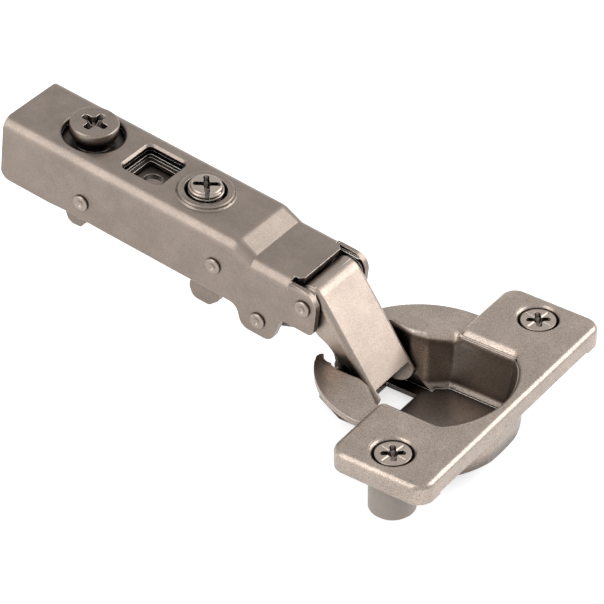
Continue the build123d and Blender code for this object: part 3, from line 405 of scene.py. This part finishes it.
def ring_of(name, section, place=Matrix(), steps=72):
    """A closed ring with a section given as radius and height pairs."""
    vertices, faces, count = [], [], len(section)
    for step in range(steps):
        angle = 2 * pi * step / steps
        vertices += [(radius * cos(angle), radius * sin(angle), height) for radius, height in section]
    for step in range(steps):
        here, after = step * count, (step + 1) % steps * count
        for corner in range(count):
            beside = (corner + 1) % count
            faces.append((here + corner, after + corner, after + beside, here + beside))
    return new_piece(name, vertices, faces, place)


def lofted(name, rings, place=Matrix()):
    """A closed solid through rings of as many points each, from its foot to its top."""
    count = len(rings[0])
    vertices = [point for ring in rings for point in ring]
    faces = [list(range(count))[::-1], list(range(len(vertices) - count, len(vertices)))]
    for level in range(len(rings) - 1):
        for step in range(count):
            after = (step + 1) % count
            faces.append([level * count + step, level * count + after,
                          (level + 1) * count + after, (level + 1) * count + step])
    return new_piece(name, vertices, faces, place)


def plan_ring(corners, away, parts=6):
    """A closed anticlockwise plan, grown by its own amount at each (x, y, radius) corner."""
    least_radius = 0.2
    points, moved = [], []
    count = len(corners)
    for index, (x, y, radius) in enumerate(corners):
        here = Vector((x, y))
        before = (here - Vector(corners[index - 1][:2])).normalized()
        after = (Vector(corners[(index + 1) % count][:2]) - here).normalized()
        sides = Vector((before.y + after.y, -before.x - after.x))
        turn = before.cross(after)
        moved.append((here + sides * away[index] / (1 + before.dot(after)), radius, 1 if turn > 0 else -1))
    for index, (here, radius, bulge) in enumerate(moved):
        if radius == 0:
            points.append(here)
            continue
        before = (moved[index - 1][0] - here).normalized()
        after = (moved[(index + 1) % count][0] - here).normalized()
        radius = max(least_radius, radius + bulge * away[index])
        half = before.angle(after) / 2
        centre = here + (before + after).normalized() * radius / sin(half)
        start = here + before * radius / tan(half) - centre
        sweep = pi - 2 * half
        for part in range(parts + 1):
            points.append(centre + Matrix.Rotation(bulge * sweep * part / parts, 2) @ start)
    return points


def made_plain(piece, modifier):
    """Gives a piece the mesh that its modifier makes of it, and drops the modifier."""
    kind = modifier.type
    seen = piece.evaluated_get(bpy.context.evaluated_depsgraph_get())
    mesh = bpy.data.meshes.new_from_object(seen)
    piece.modifiers.remove(modifier)
    plain = piece.data
    piece.data = mesh
    bpy.data.meshes.remove(plain)
    if not mesh.polygons:
        raise RuntimeError(f"{piece.name} came out empty from its {kind} step")


def finished(piece, kind, **settings):
    """Gives a piece the mesh that a modifier with these settings makes of it."""
    modifier = piece.modifiers.new("step", kind)
    for name, value in settings.items():
        setattr(modifier, name, value)
    made_plain(piece, modifier)


def combine(piece, tool, operation="DIFFERENCE"):
    """Cuts a tool out of a piece, or joins it on, and throws the tool away."""
    finished(piece, "BOOLEAN", object=tool, operation=operation, solver="EXACT")
    mesh = tool.data
    bpy.data.objects.remove(tool)
    bpy.data.meshes.remove(mesh)


def copy_of(node, name):
    """A welded copy of a CAD node's mesh, which may be cut."""
    weld, sliver = 0.0002 * mm, 0.0001 * mm
    source = nodes[node]
    welded = bmesh.new()
    welded.from_mesh(source.data)
    welded.transform(source.matrix_world)
    bmesh.ops.remove_doubles(welded, verts=welded.verts, dist=weld)
    bmesh.ops.dissolve_degenerate(welded, edges=welded.edges, dist=sliver)
    mesh = bpy.data.meshes.new(name)
    welded.to_mesh(mesh)
    welded.free()
    piece = bpy.data.objects.new(name, mesh)
    bpy.context.scene.collection.objects.link(piece)
    return piece


def smooth(piece, angle=35.0, flats=()):
    """Shades a piece smooth between its sharp edges, and keeps faces square to the flats' directions flat."""
    squareness = 0.99996
    piece.data.shade_smooth()
    piece.data.set_sharp_from_angle(angle=radians(angle))
    edges = bmesh.new()
    edges.from_mesh(piece.data)
    for edge in edges.edges:
        for flat in flats:
            square = [abs(face.normal.dot(flat)) > squareness for face in edge.link_faces]
            if any(square) and not all(square):
                edge.smooth = False
    edges.to_mesh(piece.data)
    edges.free()
    finished(piece, "WEIGHTED_NORMAL", keep_sharp=True)


def settle(piece, finish, body, *replaced):
    """Gives a finished piece its material, its body and the CAD nodes that it stands for."""
    piece.data.materials.clear()
    piece.data.materials.append(finish_named(finish))
    if replaced:
        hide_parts(*replaced)
    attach(piece, body)
    return piece


# Sizes that the pieces share, in millimetres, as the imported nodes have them

cup_place = frame_at((58.6, 0, -6.9), 7.1)
arm_top = 4.7
arm_half = 8.0
cup_floor_level = -11.3
crescent_level = -1.07
wing_rear = 0.1
wing_roll = 1.15
wing_screw_x, wing_screw_y = 9.5, 22.5
cam_x = -13.6
side_screw_x = 11.3
tilt_pin, guide_pin = (-9.5, -4.35), (19.6, -2.35)
inner_link_pin, outer_link_pin = (29.9, -8.9), (38.6, -1.1)
catch_pin = (-18.6, -4.4)
across, upright = Vector((0, 1, 0)), Vector((0, 0, 1))


def turned_by(angle):
    """A turn about a place's own z axis by a number of degrees."""
    return Matrix.Rotation(radians(angle), 4, "Z")


def at_wing_screw(side, level=0.0):
    """The place of one wing screw's axis in the cup."""
    return cup_place @ Matrix.Translation((wing_screw_x, side * wing_screw_y, level))


def cross_tool(span, width, depth, corner, place):
    """The tool for a cross recess: four tapered arms with rounded roots."""
    levels = ((-depth, 0.45), (-0.75 * depth, 0.8), (0, 1.0), (0.4, 1.04))    # heights and outline shares
    arm, half = span / 2, width / 2
    soft = half * 0.45
    outline = []
    for quarter in range(4):
        turn = Matrix.Rotation(quarter * pi / 2, 2)
        for x, y in ((arm - soft, -half), (arm, soft - half), (arm, half - soft), (arm - soft, half)):
            outline.append(turn @ Vector((x, y)))
        for part in range(5):
            angle = radians(270 - 90 * part / 4)
            root = Vector((half + corner, half + corner)) + corner * Vector((cos(angle), sin(angle)))
            outline.append(turn @ root)
    rings = [[(share * point.x, share * point.y, height) for point in outline] for height, share in levels]
    return lofted("cross_tool", rings, place)


def slot_tool(place):
    """A slot that runs from the middle of the side screw out through its side."""
    width, near, far, depth, above = 0.9, 0.2, 3.6, 1.3, 0.4
    section = ((-width / 2, above), (-width / 2, -depth), (width / 2, -depth), (width / 2, above))
    return lofted("slot_tool", [[(x, y, z) for y, z in section] for x in (near, far)], place)


def tick_tool(angle, place):
    """A V groove that runs out from the middle of a wing screw's head."""
    near, far, width, depth, above = 0.9, 2.75, 0.5, 0.22, 0.3
    section = ((-width / 2, 0), (0, -depth), (width / 2, 0), (width / 2, above), (-width / 2, above))
    rings = [[(x, y, z) for y, z in section] for x in (far, near)]
    return lofted("tick_tool", rings, place @ turned_by(angle))


def winding_nodes():
    """Geometry Nodes group that winds a wire or a ridge: a spiral with a section swept along it."""
    found = bpy.data.node_groups.get("winding")
    if found:
        return found
    group = bpy.data.node_groups.new("winding", "GeometryNodeTree")
    for name, kind in (("Turns", "Float"), ("Radius", "Float"), ("Height", "Float"), ("Wire", "Float"),
                       ("Sides", "Int"), ("Steps", "Int"), ("Finish", "Material")):
        group.interface.new_socket(name, in_out="INPUT", socket_type=f"NodeSocket{kind}")
    group.interface.new_socket("Geometry", in_out="OUTPUT", socket_type="NodeSocketGeometry")
    given = group.nodes.new("NodeGroupInput")
    spiral = group.nodes.new("GeometryNodeCurveSpiral")
    section = group.nodes.new("GeometryNodeCurvePrimitiveCircle")
    sweep = group.nodes.new("GeometryNodeCurveToMesh")
    sweep.inputs["Fill Caps"].default_value = True
    real = group.nodes.new("GeometryNodeRealizeInstances")
    dressed = group.nodes.new("GeometryNodeSetMaterial")
    result = group.nodes.new("NodeGroupOutput")
    for source, output, target, socket in (
            (given, "Steps", spiral, "Resolution"), (given, "Turns", spiral, "Rotations"),
            (given, "Radius", spiral, "Start Radius"), (given, "Radius", spiral, "End Radius"),
            (given, "Height", spiral, "Height"), (given, "Sides", section, "Resolution"),
            (given, "Wire", section, "Radius"), (spiral, "Curve", sweep, "Curve"),
            (section, "Curve", sweep, "Profile Curve"), (sweep, "Mesh", real, "Geometry"),
            (real, "Geometry", dressed, "Geometry"), (given, "Finish", dressed, "Material"),
            (dressed, "Geometry", result, "Geometry")):
        group.links.new(source.outputs[output], target.inputs[socket])
    return group


def wound(name, finish, turns, radius, pitch, wire, start, rise=1, sides=6, tilt=0):
    """A spring or a thread: turns of a wire round an axis, from a start in the row frame."""
    steps_per_turn = 12
    piece = new_piece(name, [(0, 0, 0)], [])
    group = winding_nodes()
    modifier = piece.modifiers.new("winding", "NODES")
    modifier.node_group = group
    values = {"Turns": turns, "Radius": radius * mm, "Height": rise * turns * pitch * mm, "Wire": wire * mm,
              "Sides": sides, "Steps": int(turns * steps_per_turn), "Finish": finish_named(finish)}
    for item in group.interface.items_tree:
        if item.in_out == "INPUT":
            modifier[item.identifier] = values[item.name]
    made_plain(piece, modifier)
    piece.data.transform(Matrix.Translation(mm * Vector(start)) @ Matrix.Rotation(radians(tilt), 4, "X"))
    piece.data.shade_smooth()
    return piece


# Pieces

# The top edge of the arm's cheeks from the rear to the front: along the arm, and its height
ramp_line = ((-29.0, 4.7), (22.4, 4.7), (23.0, 4.66), (23.7, 4.47), (26.95, 3.02), (27.2, 2.95), (35.1, 2.95))


def bend_tool(side):
    """The tool that widens the bend between the arm's top and one cheek."""
    bend, spare = 2.25, 0.6
    rings = []
    for x, top in ramp_line:
        section = [(arm_half + spare, top - bend), (arm_half + spare, top + spare),
                   (arm_half - bend, top + spare)]
        for part in range(11):
            angle = radians(90 - 9 * part)
            section.append((arm_half - bend + bend * cos(angle), top - bend + bend * sin(angle)))
        rings.append([(x, side * y, z) for y, z in section])
    return lofted("bend_tool", rings)


def roll_profile(width, depth):
    """Outset and height pairs down a rolled rim, from its open top to below the sheet."""
    above, below = 0.6, -1.1
    pairs = [(width, above)]
    for part in range(7):
        angle = radians(90 - 15 * part)
        pairs.append((width - width * cos(angle), depth * (sin(angle) - 1)))
    return pairs + [(0, below)]


def hole_tool():
    """The tool that rolls the rim of the cam screw's hole."""
    radius, roll = 5.62, 0.62
    profile = [(radius + out, arm_top + up) for out, up in reversed(roll_profile(roll, roll))]
    return turned("hole_tool", [(0, profile[0][1]), *profile, (0, profile[-1][1])], frame_at((cam_x, 0, 0)))


def window_tool():
    """The tool that rolls the rim of the window."""
    middle, half_x, half_y, soft = -0.15, 4.095, 4.17, 1.05
    roll_width, roll_depth = 0.45, 0.5
    corners = [(middle - half_x, -half_y, soft), (middle + half_x, -half_y, soft),
               (middle + half_x, half_y, soft), (middle - half_x, half_y, soft)]
    rings = []
    for out, up in reversed(roll_profile(roll_width, roll_depth)):
        rings.append([(point.x, point.y, arm_top + up) for point in plan_ring(corners, [out] * 4)])
    return lofted("window_tool", rings)


def collar_bead():
    """The rolled rim of the side screw's collar."""
    radius, height, roll = 4.75, 5.05, 0.38
    section = [(radius + roll * cos(radians(angle)), height + roll * sin(radians(angle)))
               for angle in range(0, 360, 24)]
    return ring_of("collar_bead", section, frame_at((side_screw_x, 0, 0)))


def tongue_tool(side):
    """The tool that clips a corner off the tongue's front edge."""
    tip_x, tip_y, clip, spare, low, high = 36.7, 6.0, 0.75, 0.3, 1.4, 3.4
    plan = [(tip_x + spare, tip_y + spare), (tip_x - clip, tip_y + spare), (tip_x - clip, tip_y),
            (tip_x, tip_y - clip), (tip_x + spare, tip_y - clip)]
    return lofted("tongue_tool", [[(x, side * y, z) for x, y in plan] for z in (low, high)])


def rivet(name, x, z):
    """A cross pin with a low dimpled head at each end."""
    shank, head, reach = 1.25, 1.55, 8.5
    end = [(shank, arm_half - 0.1), (shank, arm_half), (head - 0.06, arm_half + 0.02),
           (head, arm_half + 0.12), (head - 0.04, reach - 0.14), (head - 0.2, reach),
           (0.85, reach), (0.72, reach - 0.05), (0.42, reach - 0.3), (0, reach - 0.36)]
    profile = [(radius, -height) for radius, height in reversed(end)] + end
    place = Matrix.Translation((x, 0, z)) @ Matrix.Rotation(radians(90), 4, "X")
    piece = turned(name, profile, place, steps=40)
    smooth(piece)
    return piece


class HINGE_OT_arm(bpy.types.Operator):
    """Arm, its pins and washers"""

    bl_idname = "hinge.arm"
    bl_label = "Arm and pins"

    def execute(self, context):
        arm = copy_of("arm", "arm_look")
        for side in (-1, 1):
            combine(arm, bend_tool(side))
        combine(arm, collar_bead(), "UNION")
        combine(arm, hole_tool())
        combine(arm, window_tool())
        for side in (-1, 1):
            combine(arm, tongue_tool(side))
        smooth(arm, 25, (across, upright))
        settle(arm, "satin_nickel", "arm", "arm")
        dress("satin_nickel", "near_spacer", "far_spacer")
        for name, axis, body in (("tilt_pin", tilt_pin, "slider"), ("guide_pin", guide_pin, "arm"),
                                 ("inner_link_pin", inner_link_pin, "arm"),
                                 ("outer_link_pin", outer_link_pin, "arm")):
            settle(rivet(f"{name}_look", *axis), "pin_steel", body, name)
        return {"FINISHED"}


class HINGE_OT_carriage(bpy.types.Operator):
    """Carriage, saddle plate and catch lever"""

    bl_idname = "hinge.carriage"
    bl_label = "Carriage and catch"

    def execute(self, context):
        dress("painted_shade_nickel", "clip_carriage", "saddle_plate", "catch_lever")
        dress("pin_steel", "catch_pin")
        catch_start, closing_start = -1.4, 5.325    # across the hinge
        x, z = catch_pin
        catch = wound("catch_spring_look", "spring_steel", turns=4, radius=1.9, pitch=0.728, wire=0.35,
                      start=(x, catch_start, z), sides=10, tilt=-90)
        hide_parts("catch_spring")
        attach(catch, "carriage")
        x, z = inner_link_pin
        for side, name in ((-1, "near"), (1, "far")):
            closing = wound(f"{name}_closing_spring_look", "spring_steel", turns=1.5, radius=2.1, pitch=0.78,
                            wire=0.375, start=(x, side * closing_start, z), sides=10, tilt=-90 * side)
            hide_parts(f"{name}_closing_spring")
            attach(closing, "arm")
        return {"FINISHED"}


class HINGE_OT_adjusters(bpy.types.Operator):
    """Cam screw and side screw"""

    bl_idname = "hinge.adjusters"
    bl_label = "Adjusting screws"

    def execute(self, context):
        saddle_under, disc, disc_top, neck, neck_foot = 1.5, 3.7, 2.95, 3.6, 3.05
        head, head_under, head_top, sunk = 4.45, 4.8, 7.15, 0.08
        cam = turned("cam_screw_look", [
            (0, saddle_under), (disc, saddle_under), (disc, disc_top), (neck, neck_foot), (neck, head_under),
            (head - 0.35, head_under), (head - 0.1, head_under + 0.1), (head, head_under + 0.35),
            (head, head_top - 0.42), (head - 0.07, head_top - 0.2), (head - 0.2, head_top - 0.06),
            (head - 0.4, head_top), (head - 0.7, head_top), (head - 0.85, head_top - sunk),
            (0, head_top - sunk),
        ], frame_at((cam_x, 0, 0)))
        face = frame_at((cam_x, 0, head_top - sunk))
        combine(cam, cross_tool(span=5.3, width=1.45, depth=1.5, corner=0.75, place=face))
        smooth(cam)
        settle(cam, "cam_nickel", "cam", "cam_screw")

        core, tip, foot, screw_top, cross_turn = 2.9, 2.2, 1.86, 6.6, 39
        screw = turned("side_screw_look", [
            (0, foot), (tip, foot), (core, foot + 1.0), (core, screw_top - 0.35),
            (core - 0.15, screw_top - 0.12), (core - 0.4, screw_top), (0, screw_top),
        ], frame_at((side_screw_x, 0, 0)))
        face = frame_at((side_screw_x, 0, screw_top)) @ turned_by(cross_turn)
        slot = face @ turned_by(-90)
        combine(screw, cross_tool(span=4.9, width=1.05, depth=1.5, corner=0.35, place=face))
        combine(screw, slot_tool(slot))
        smooth(screw)
        settle(screw, "screw_nickel", "set_screw", "side_screw")
        thread = wound("side_screw_thread", "screw_nickel", turns=4.4, radius=core - 0.02, pitch=0.8,
                       wire=0.42, start=(side_screw_x, 0, screw_top - 0.55), rise=-1)
        combine(thread, slot_tool(slot))
        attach(thread, "set_screw")
        return {"FINISHED"}


def web_end():
    """The last of the outer link's web, where it rolls back over the head."""
    inner, outer, half = 2.0, 3.1, 5.4
    first, last, step = 84, 119, 5    # degrees round the outer link's pin
    sector = [(outer, first + step * part) for part in range(8)]
    sector += [(inner, last - step * part) for part in range(8)]
    plan = [(radius * cos(radians(angle)), radius * sin(radians(angle))) for radius, angle in sector]
    pin_x, pin_z = outer_link_pin
    rings = [[(x, y, z) for x, z in plan] for y in (-half, half)]
    return lofted("web_end", rings, frame_at((pin_x, 0, pin_z)))


class HINGE_OT_links(bpy.types.Operator):
    """Outer link, inner link and damper"""

    bl_idname = "hinge.links"
    bl_label = "Links and damper"

    def execute(self, context):
        outer_link = copy_of("outer_link", "outer_link_look")
        combine(outer_link, web_end(), "UNION")
        smooth(outer_link, 25, (across,))
        settle(outer_link, "link_nickel", "outer_link", "outer_link")
        dress("satin_nickel", "inner_link")
        dress("damper_plastic", "damper_cylinder")
        dress("pin_steel", "damper_rod")
        return {"FINISHED"}


def mouth_tool():
    """The tool for the cup's mouth: a rolled lip and drafted walls round the bowl and the neck."""
    shoulder, side, neck, end, far, arc = 9.15, 11.95, 8.3, -19.5, 11.75, 16.9
    front_short, front_steps = 0.14, 16    # radians left off the front arc at each end, and its parts
    datum, air = 1, 1.5                    # levels above the cup's face: of the draft, and of the tool's top
    over = 0.05                            # the lip starts above the metal, so that it cuts it at an angle
    bulge, floor_gap = 0.25, 0.02
    neck_start, neck_run = 1.0, 5.0        # behind the cup's middle, where the bowl passes into the neck
    at_bowl, neck_adds = (12.5, 0.25, 1.7, 2.5), (5.0, 0.33, -0.9, -1.3)    # draft, spare, lip and drop

    # Half the plan from the neck's end to the bowl's front: along the cup, across it, and the corner's radius
    half = [(end, -neck, 0), (-10.0, -neck, 0), (-7.2, -neck, 2.0), (-4.7, -shoulder, 2.0),
            (-1.0, -side, 2.2)]
    half += [(0.3 + 0.25 * part, -side, 0) for part in range(6)] + [(far, -side, 1.8)]
    reach = asin(side / arc) - front_short
    front = []
    for part in range(front_steps + 1):
        angle = -reach + 2 * reach * part / front_steps
        front.append((arc * cos(angle), arc * sin(angle), 0))
    corners = half + front + [(x, -y, radius) for x, y, radius in reversed(half)]

    def section_at(x):
        """Level of the lip, draft and spare of the wall, and width and drop of the lip along the cup."""
        neckness = min(1.0, max(0.0, (-x - neck_start) / neck_run))
        rolled = wing_roll - min(wing_roll, max(0.0, x - wing_rear))
        level = max(crescent_level, sqrt(wing_roll ** 2 - rolled ** 2) - wing_roll)
        draft, spare, lip, drop = [bowl + more * neckness for bowl, more in zip(at_bowl, neck_adds)]
        return level, tan(radians(draft)), spare, lip, drop

    def place(x, kind, value, curl):
        """Outset and height of one ring at a place along the cup."""
        level, draft, spare, lip, drop = section_at(x)
        if kind == "air":
            return lip, air
        if kind == "lip":
            at_lip = spare - (datum - level + drop) * draft
            outset = lip - (lip - at_lip) * cos(radians(value))
            return outset, level + over - (drop + over) * (1 - sin(radians(value)))
        height = level - drop + (cup_floor_level + floor_gap - level + drop) * value
        return spare - (datum - height) * draft + bulge * min(1.0, 6 * value * (1 - value)) - curl, height

    stations = [point.x for point in plan_ring(corners, [0.0] * len(corners))]
    kinds = [("wall", share, curl) for share, curl in (
        (1.0, 0.8), (0.972, 0.45), (0.94, 0.2), (0.9, 0.05), (0.85, 0.0), (0.5, 0.0), (0.15, 0.0))]
    kinds += [("lip", angle, 0) for angle in range(0, 91, 9)] + [("air", 0, 0)]
    rings = []
    for kind in kinds:
        plan = plan_ring(corners, [place(x, *kind)[0] for x, y, radius in corners])
        rings.append([(point.x, point.y, place(x, *kind)[1]) for point, x in zip(plan, stations)])
    return lofted("mouth_tool", rings, cup_place)


def horn(side):
    """The small hook at the tip of one crescent."""
    thickness, sunk = 1.08, 0.02
    plan = [(-14.2, -10.6), (-16.25, -8.3), (-16.6, -7.5), (-16.45, -6.75), (-16.1, -6.35), (-15.75, -6.45),
            (-15.65, -7.0), (-15.2, -7.35), (-14.2, -7.75), (-13.4, -7.7), (-13.0, -8.1), (-11.8, -8.5),
            (-11.2, -9.6), (-12.6, -10.6)]
    levels = (crescent_level - thickness, crescent_level - sunk)
    return lofted("horn", [[(x, side * y, z) for x, y in plan] for z in levels], cup_place)


def seat_ring(side):
    """The dished seat round the head of one wing screw."""
    inner, outer, foot, rim = 3.55, 4.35, -1.0, -0.03
    section = [(inner, foot), (outer, foot), (outer, rim), (4.06, -0.04), (3.93, -0.1), (3.65, -0.42),
               (inner, -0.6)]
    return ring_of("seat_ring", section, at_wing_screw(side))


class HINGE_OT_cup(bpy.types.Operator):
    """Cup with its wing and pins"""

    bl_idname = "hinge.cup"
    bl_label = "Cup and wing"

    def execute(self, context):
        cup = copy_of("cup", "cup_look")
        combine(cup, mouth_tool())
        for side in (-1, 1):
            combine(cup, horn(side), "UNION")
            combine(cup, seat_ring(side), "UNION")
        smooth(cup, 30, (cup_place.col[2].xyz, across, cup_place.col[0].xyz))
        settle(cup, "cup_nickel", "cup", "cup")
        dress("pin_steel", "outer_cup_pin", "inner_cup_pin")
        return {"FINISHED"}


class HINGE_OT_wing_screws(bpy.types.Operator):
    """Wing screws and dowels"""

    bl_idname = "hinge.wing_screws"
    bl_label = "Wing screws and dowels"

    def execute(self, context):
        head, shank, tip, sunk, cross_turn = 3.2, 1.9, 1.1, 0.35, 37
        tip_level, taper_level, face_rise = -10.0, -9.0, 0.03
        for side, name in ((-1, "near"), (1, "far")):
            screw = turned(f"{name}_wing_screw_look", [
                (0, tip_level), (tip, tip_level), (shank, taper_level), (shank, -sunk - 1.6),
                (head - 0.25, -sunk - 0.5), (head, -sunk - 0.35), (head, -sunk - 0.2),
                (head - 0.1, -sunk - 0.06), (head - 0.28, -sunk), (0, -sunk + 0.04),
            ], at_wing_screw(side))
            face = at_wing_screw(side, -sunk + face_rise) @ turned_by(cross_turn)
            combine(screw, cross_tool(span=4.3, width=1.1, depth=1.3, corner=0.4, place=face))
            for angle in (45, 135, 225, 315):
                combine(screw, tick_tool(angle, face))
            smooth(screw)
            settle(screw, "screw_nickel", f"{name}_screw", f"{name}_wing_screw")
        dress("dowel_plastic", "near_dowel", "far_dowel")
        return {"FINISHED"}


# Stage

def softbox(name, direction, distance, width, height, power):
    """An area lamp that faces the middle of the hinge."""
    middle = (cad_low + cad_high) / 2
    lamp = bpy.data.lights.new(name, "AREA")
    lamp.shape = "RECTANGLE"
    lamp.size, lamp.size_y = width, height
    lamp.energy = power
    holder = bpy.data.objects.new(name, lamp)
    away = Vector(direction).normalized()
    holder.location = middle + away * distance
    holder.rotation_mode = "QUATERNION"
    holder.rotation_quaternion = (-away).to_track_quat("-Z", "Y")
    bpy.context.scene.collection.objects.link(holder)
    return holder


def seen_by_lens(tree):
    """1 for rays from the lens, mirrors and glass, and 0 for the light that falls on things."""
    path = add_node(tree, "ShaderNodeLightPath")
    either = worked_out(tree, "MAXIMUM", path.outputs["Is Camera Ray"], path.outputs["Is Glossy Ray"])
    return worked_out(tree, "MAXIMUM", either, path.outputs["Is Transmission Ray"])


class HINGE_OT_stage(bpy.types.Operator):
    """Camera, softboxes, white surround and pale floor"""

    bl_idname = "hinge.stage"
    bl_label = "Studio"

    def execute(self, context):
        scene, look = context.scene, context.scene.hinge_stage
        scene.view_settings.view_transform = "Standard"
        camera = bpy.data.objects.new("camera", bpy.data.cameras.new("camera"))
        forward = Vector(look.camera_forward).normalized()
        right = Vector(look.camera_right)
        right = (right - forward * right.dot(forward)).normalized()
        up = right.cross(forward)
        turn = Matrix((right, up, -forward)).transposed()
        camera.matrix_world = Matrix.Translation(look.camera_place) @ turn.to_4x4()
        camera.data.lens = look.lens
        camera.data.clip_start, camera.data.clip_end = 10 * mm, 20.0
        scene.collection.objects.link(camera)
        scene.camera = camera

        softbox("softbox_back", direction=(0.50, 0.62, 0.55), distance=0.75, width=0.62, height=0.5,
                power=look.key_light)
        softbox("softbox_front", direction=(-0.40, -0.72, 0.55), distance=0.75, width=0.5, height=0.95,
                power=look.fill_light)

        world = bpy.data.worlds.new("studio")
        world.use_nodes = True
        scene.world = world
        tree = world.node_tree
        strength = add_node(tree, "ShaderNodeMapRange", {"To Min": look.world_light, "To Max": 1.0})
        link(tree, seen_by_lens(tree), strength.inputs["Value"])
        background = tree.nodes["Background"]
        background.inputs["Color"].default_value = (1, 1, 1, 1)
        link(tree, strength.outputs["Result"], background.inputs["Strength"])

        half = look.floor_size / 2
        level = cad_low.z
        mesh = bpy.data.meshes.new("floor")
        corners = [(-half, -half, level), (half, -half, level), (half, half, level), (-half, half, level)]
        mesh.from_pydata(corners, [], [(0, 1, 2, 3)])
        floor = bpy.data.objects.new("floor", mesh)
        scene.collection.objects.link(floor)
        material = bpy.data.materials.new("pale_floor")
        material.use_nodes = True
        tree = material.node_tree
        tree.nodes.clear()
        matt = add_node(tree, "ShaderNodeBsdfDiffuse", {"Color": (*look.floor_colour, 1)})
        glow = add_node(tree, "ShaderNodeEmission", {"Color": (1, 1, 1, 1)})
        level_of_glow = add_node(tree, "ShaderNodeMath", {1: look.floor_glow}, operation="MULTIPLY")
        link(tree, seen_by_lens(tree), level_of_glow.inputs[0])
        link(tree, level_of_glow.outputs["Value"], glow.inputs["Strength"])
        both = add_node(tree, "ShaderNodeAddShader")
        link(tree, matt.outputs["BSDF"], both.inputs[0])
        link(tree, glow.outputs["Emission"], both.inputs[1])
        output = add_node(tree, "ShaderNodeOutputMaterial")
        link(tree, both.outputs["Shader"], output.inputs["Surface"])
        mesh.materials.append(material)
        return {"FINISHED"}


class HINGE_PT_builder(bpy.types.Panel):
    """Lists the hinge's settings and the steps that dress it"""

    bl_idname = "HINGE_PT_builder"
    bl_label = "Cup hinge"
    bl_space_type = "VIEW_3D"
    bl_region_type = "UI"
    bl_category = "Cup hinge"

    def draw(self, context):
        for settings in (context.scene.hinge_finish, context.scene.hinge_stage):
            box = self.layout.box()
            for name in settings.__annotations__:
                box.prop(settings, name)
        for step in steps:
            self.layout.operator(step.bl_idname)


steps = (HINGE_OT_arm, HINGE_OT_carriage, HINGE_OT_adjusters, HINGE_OT_links, HINGE_OT_cup,
         HINGE_OT_wing_screws, HINGE_OT_stage)
classes = (HingeFinishSettings, HingeStageSettings, *steps, HINGE_PT_builder)


def register():
    for cls in classes:
        bpy.utils.register_class(cls)
    bpy.types.Scene.hinge_finish = bpy.props.PointerProperty(type=HingeFinishSettings)
    bpy.types.Scene.hinge_stage = bpy.props.PointerProperty(type=HingeStageSettings)


def unregister():
    del bpy.types.Scene.hinge_stage
    del bpy.types.Scene.hinge_finish
    for cls in reversed(classes):
        bpy.utils.unregister_class(cls)


def main():
    register()
    for step in steps:
        group, name = step.bl_idname.split(".")
        getattr(getattr(bpy.ops, group), name)()


if __name__ == "__main__":
    main()
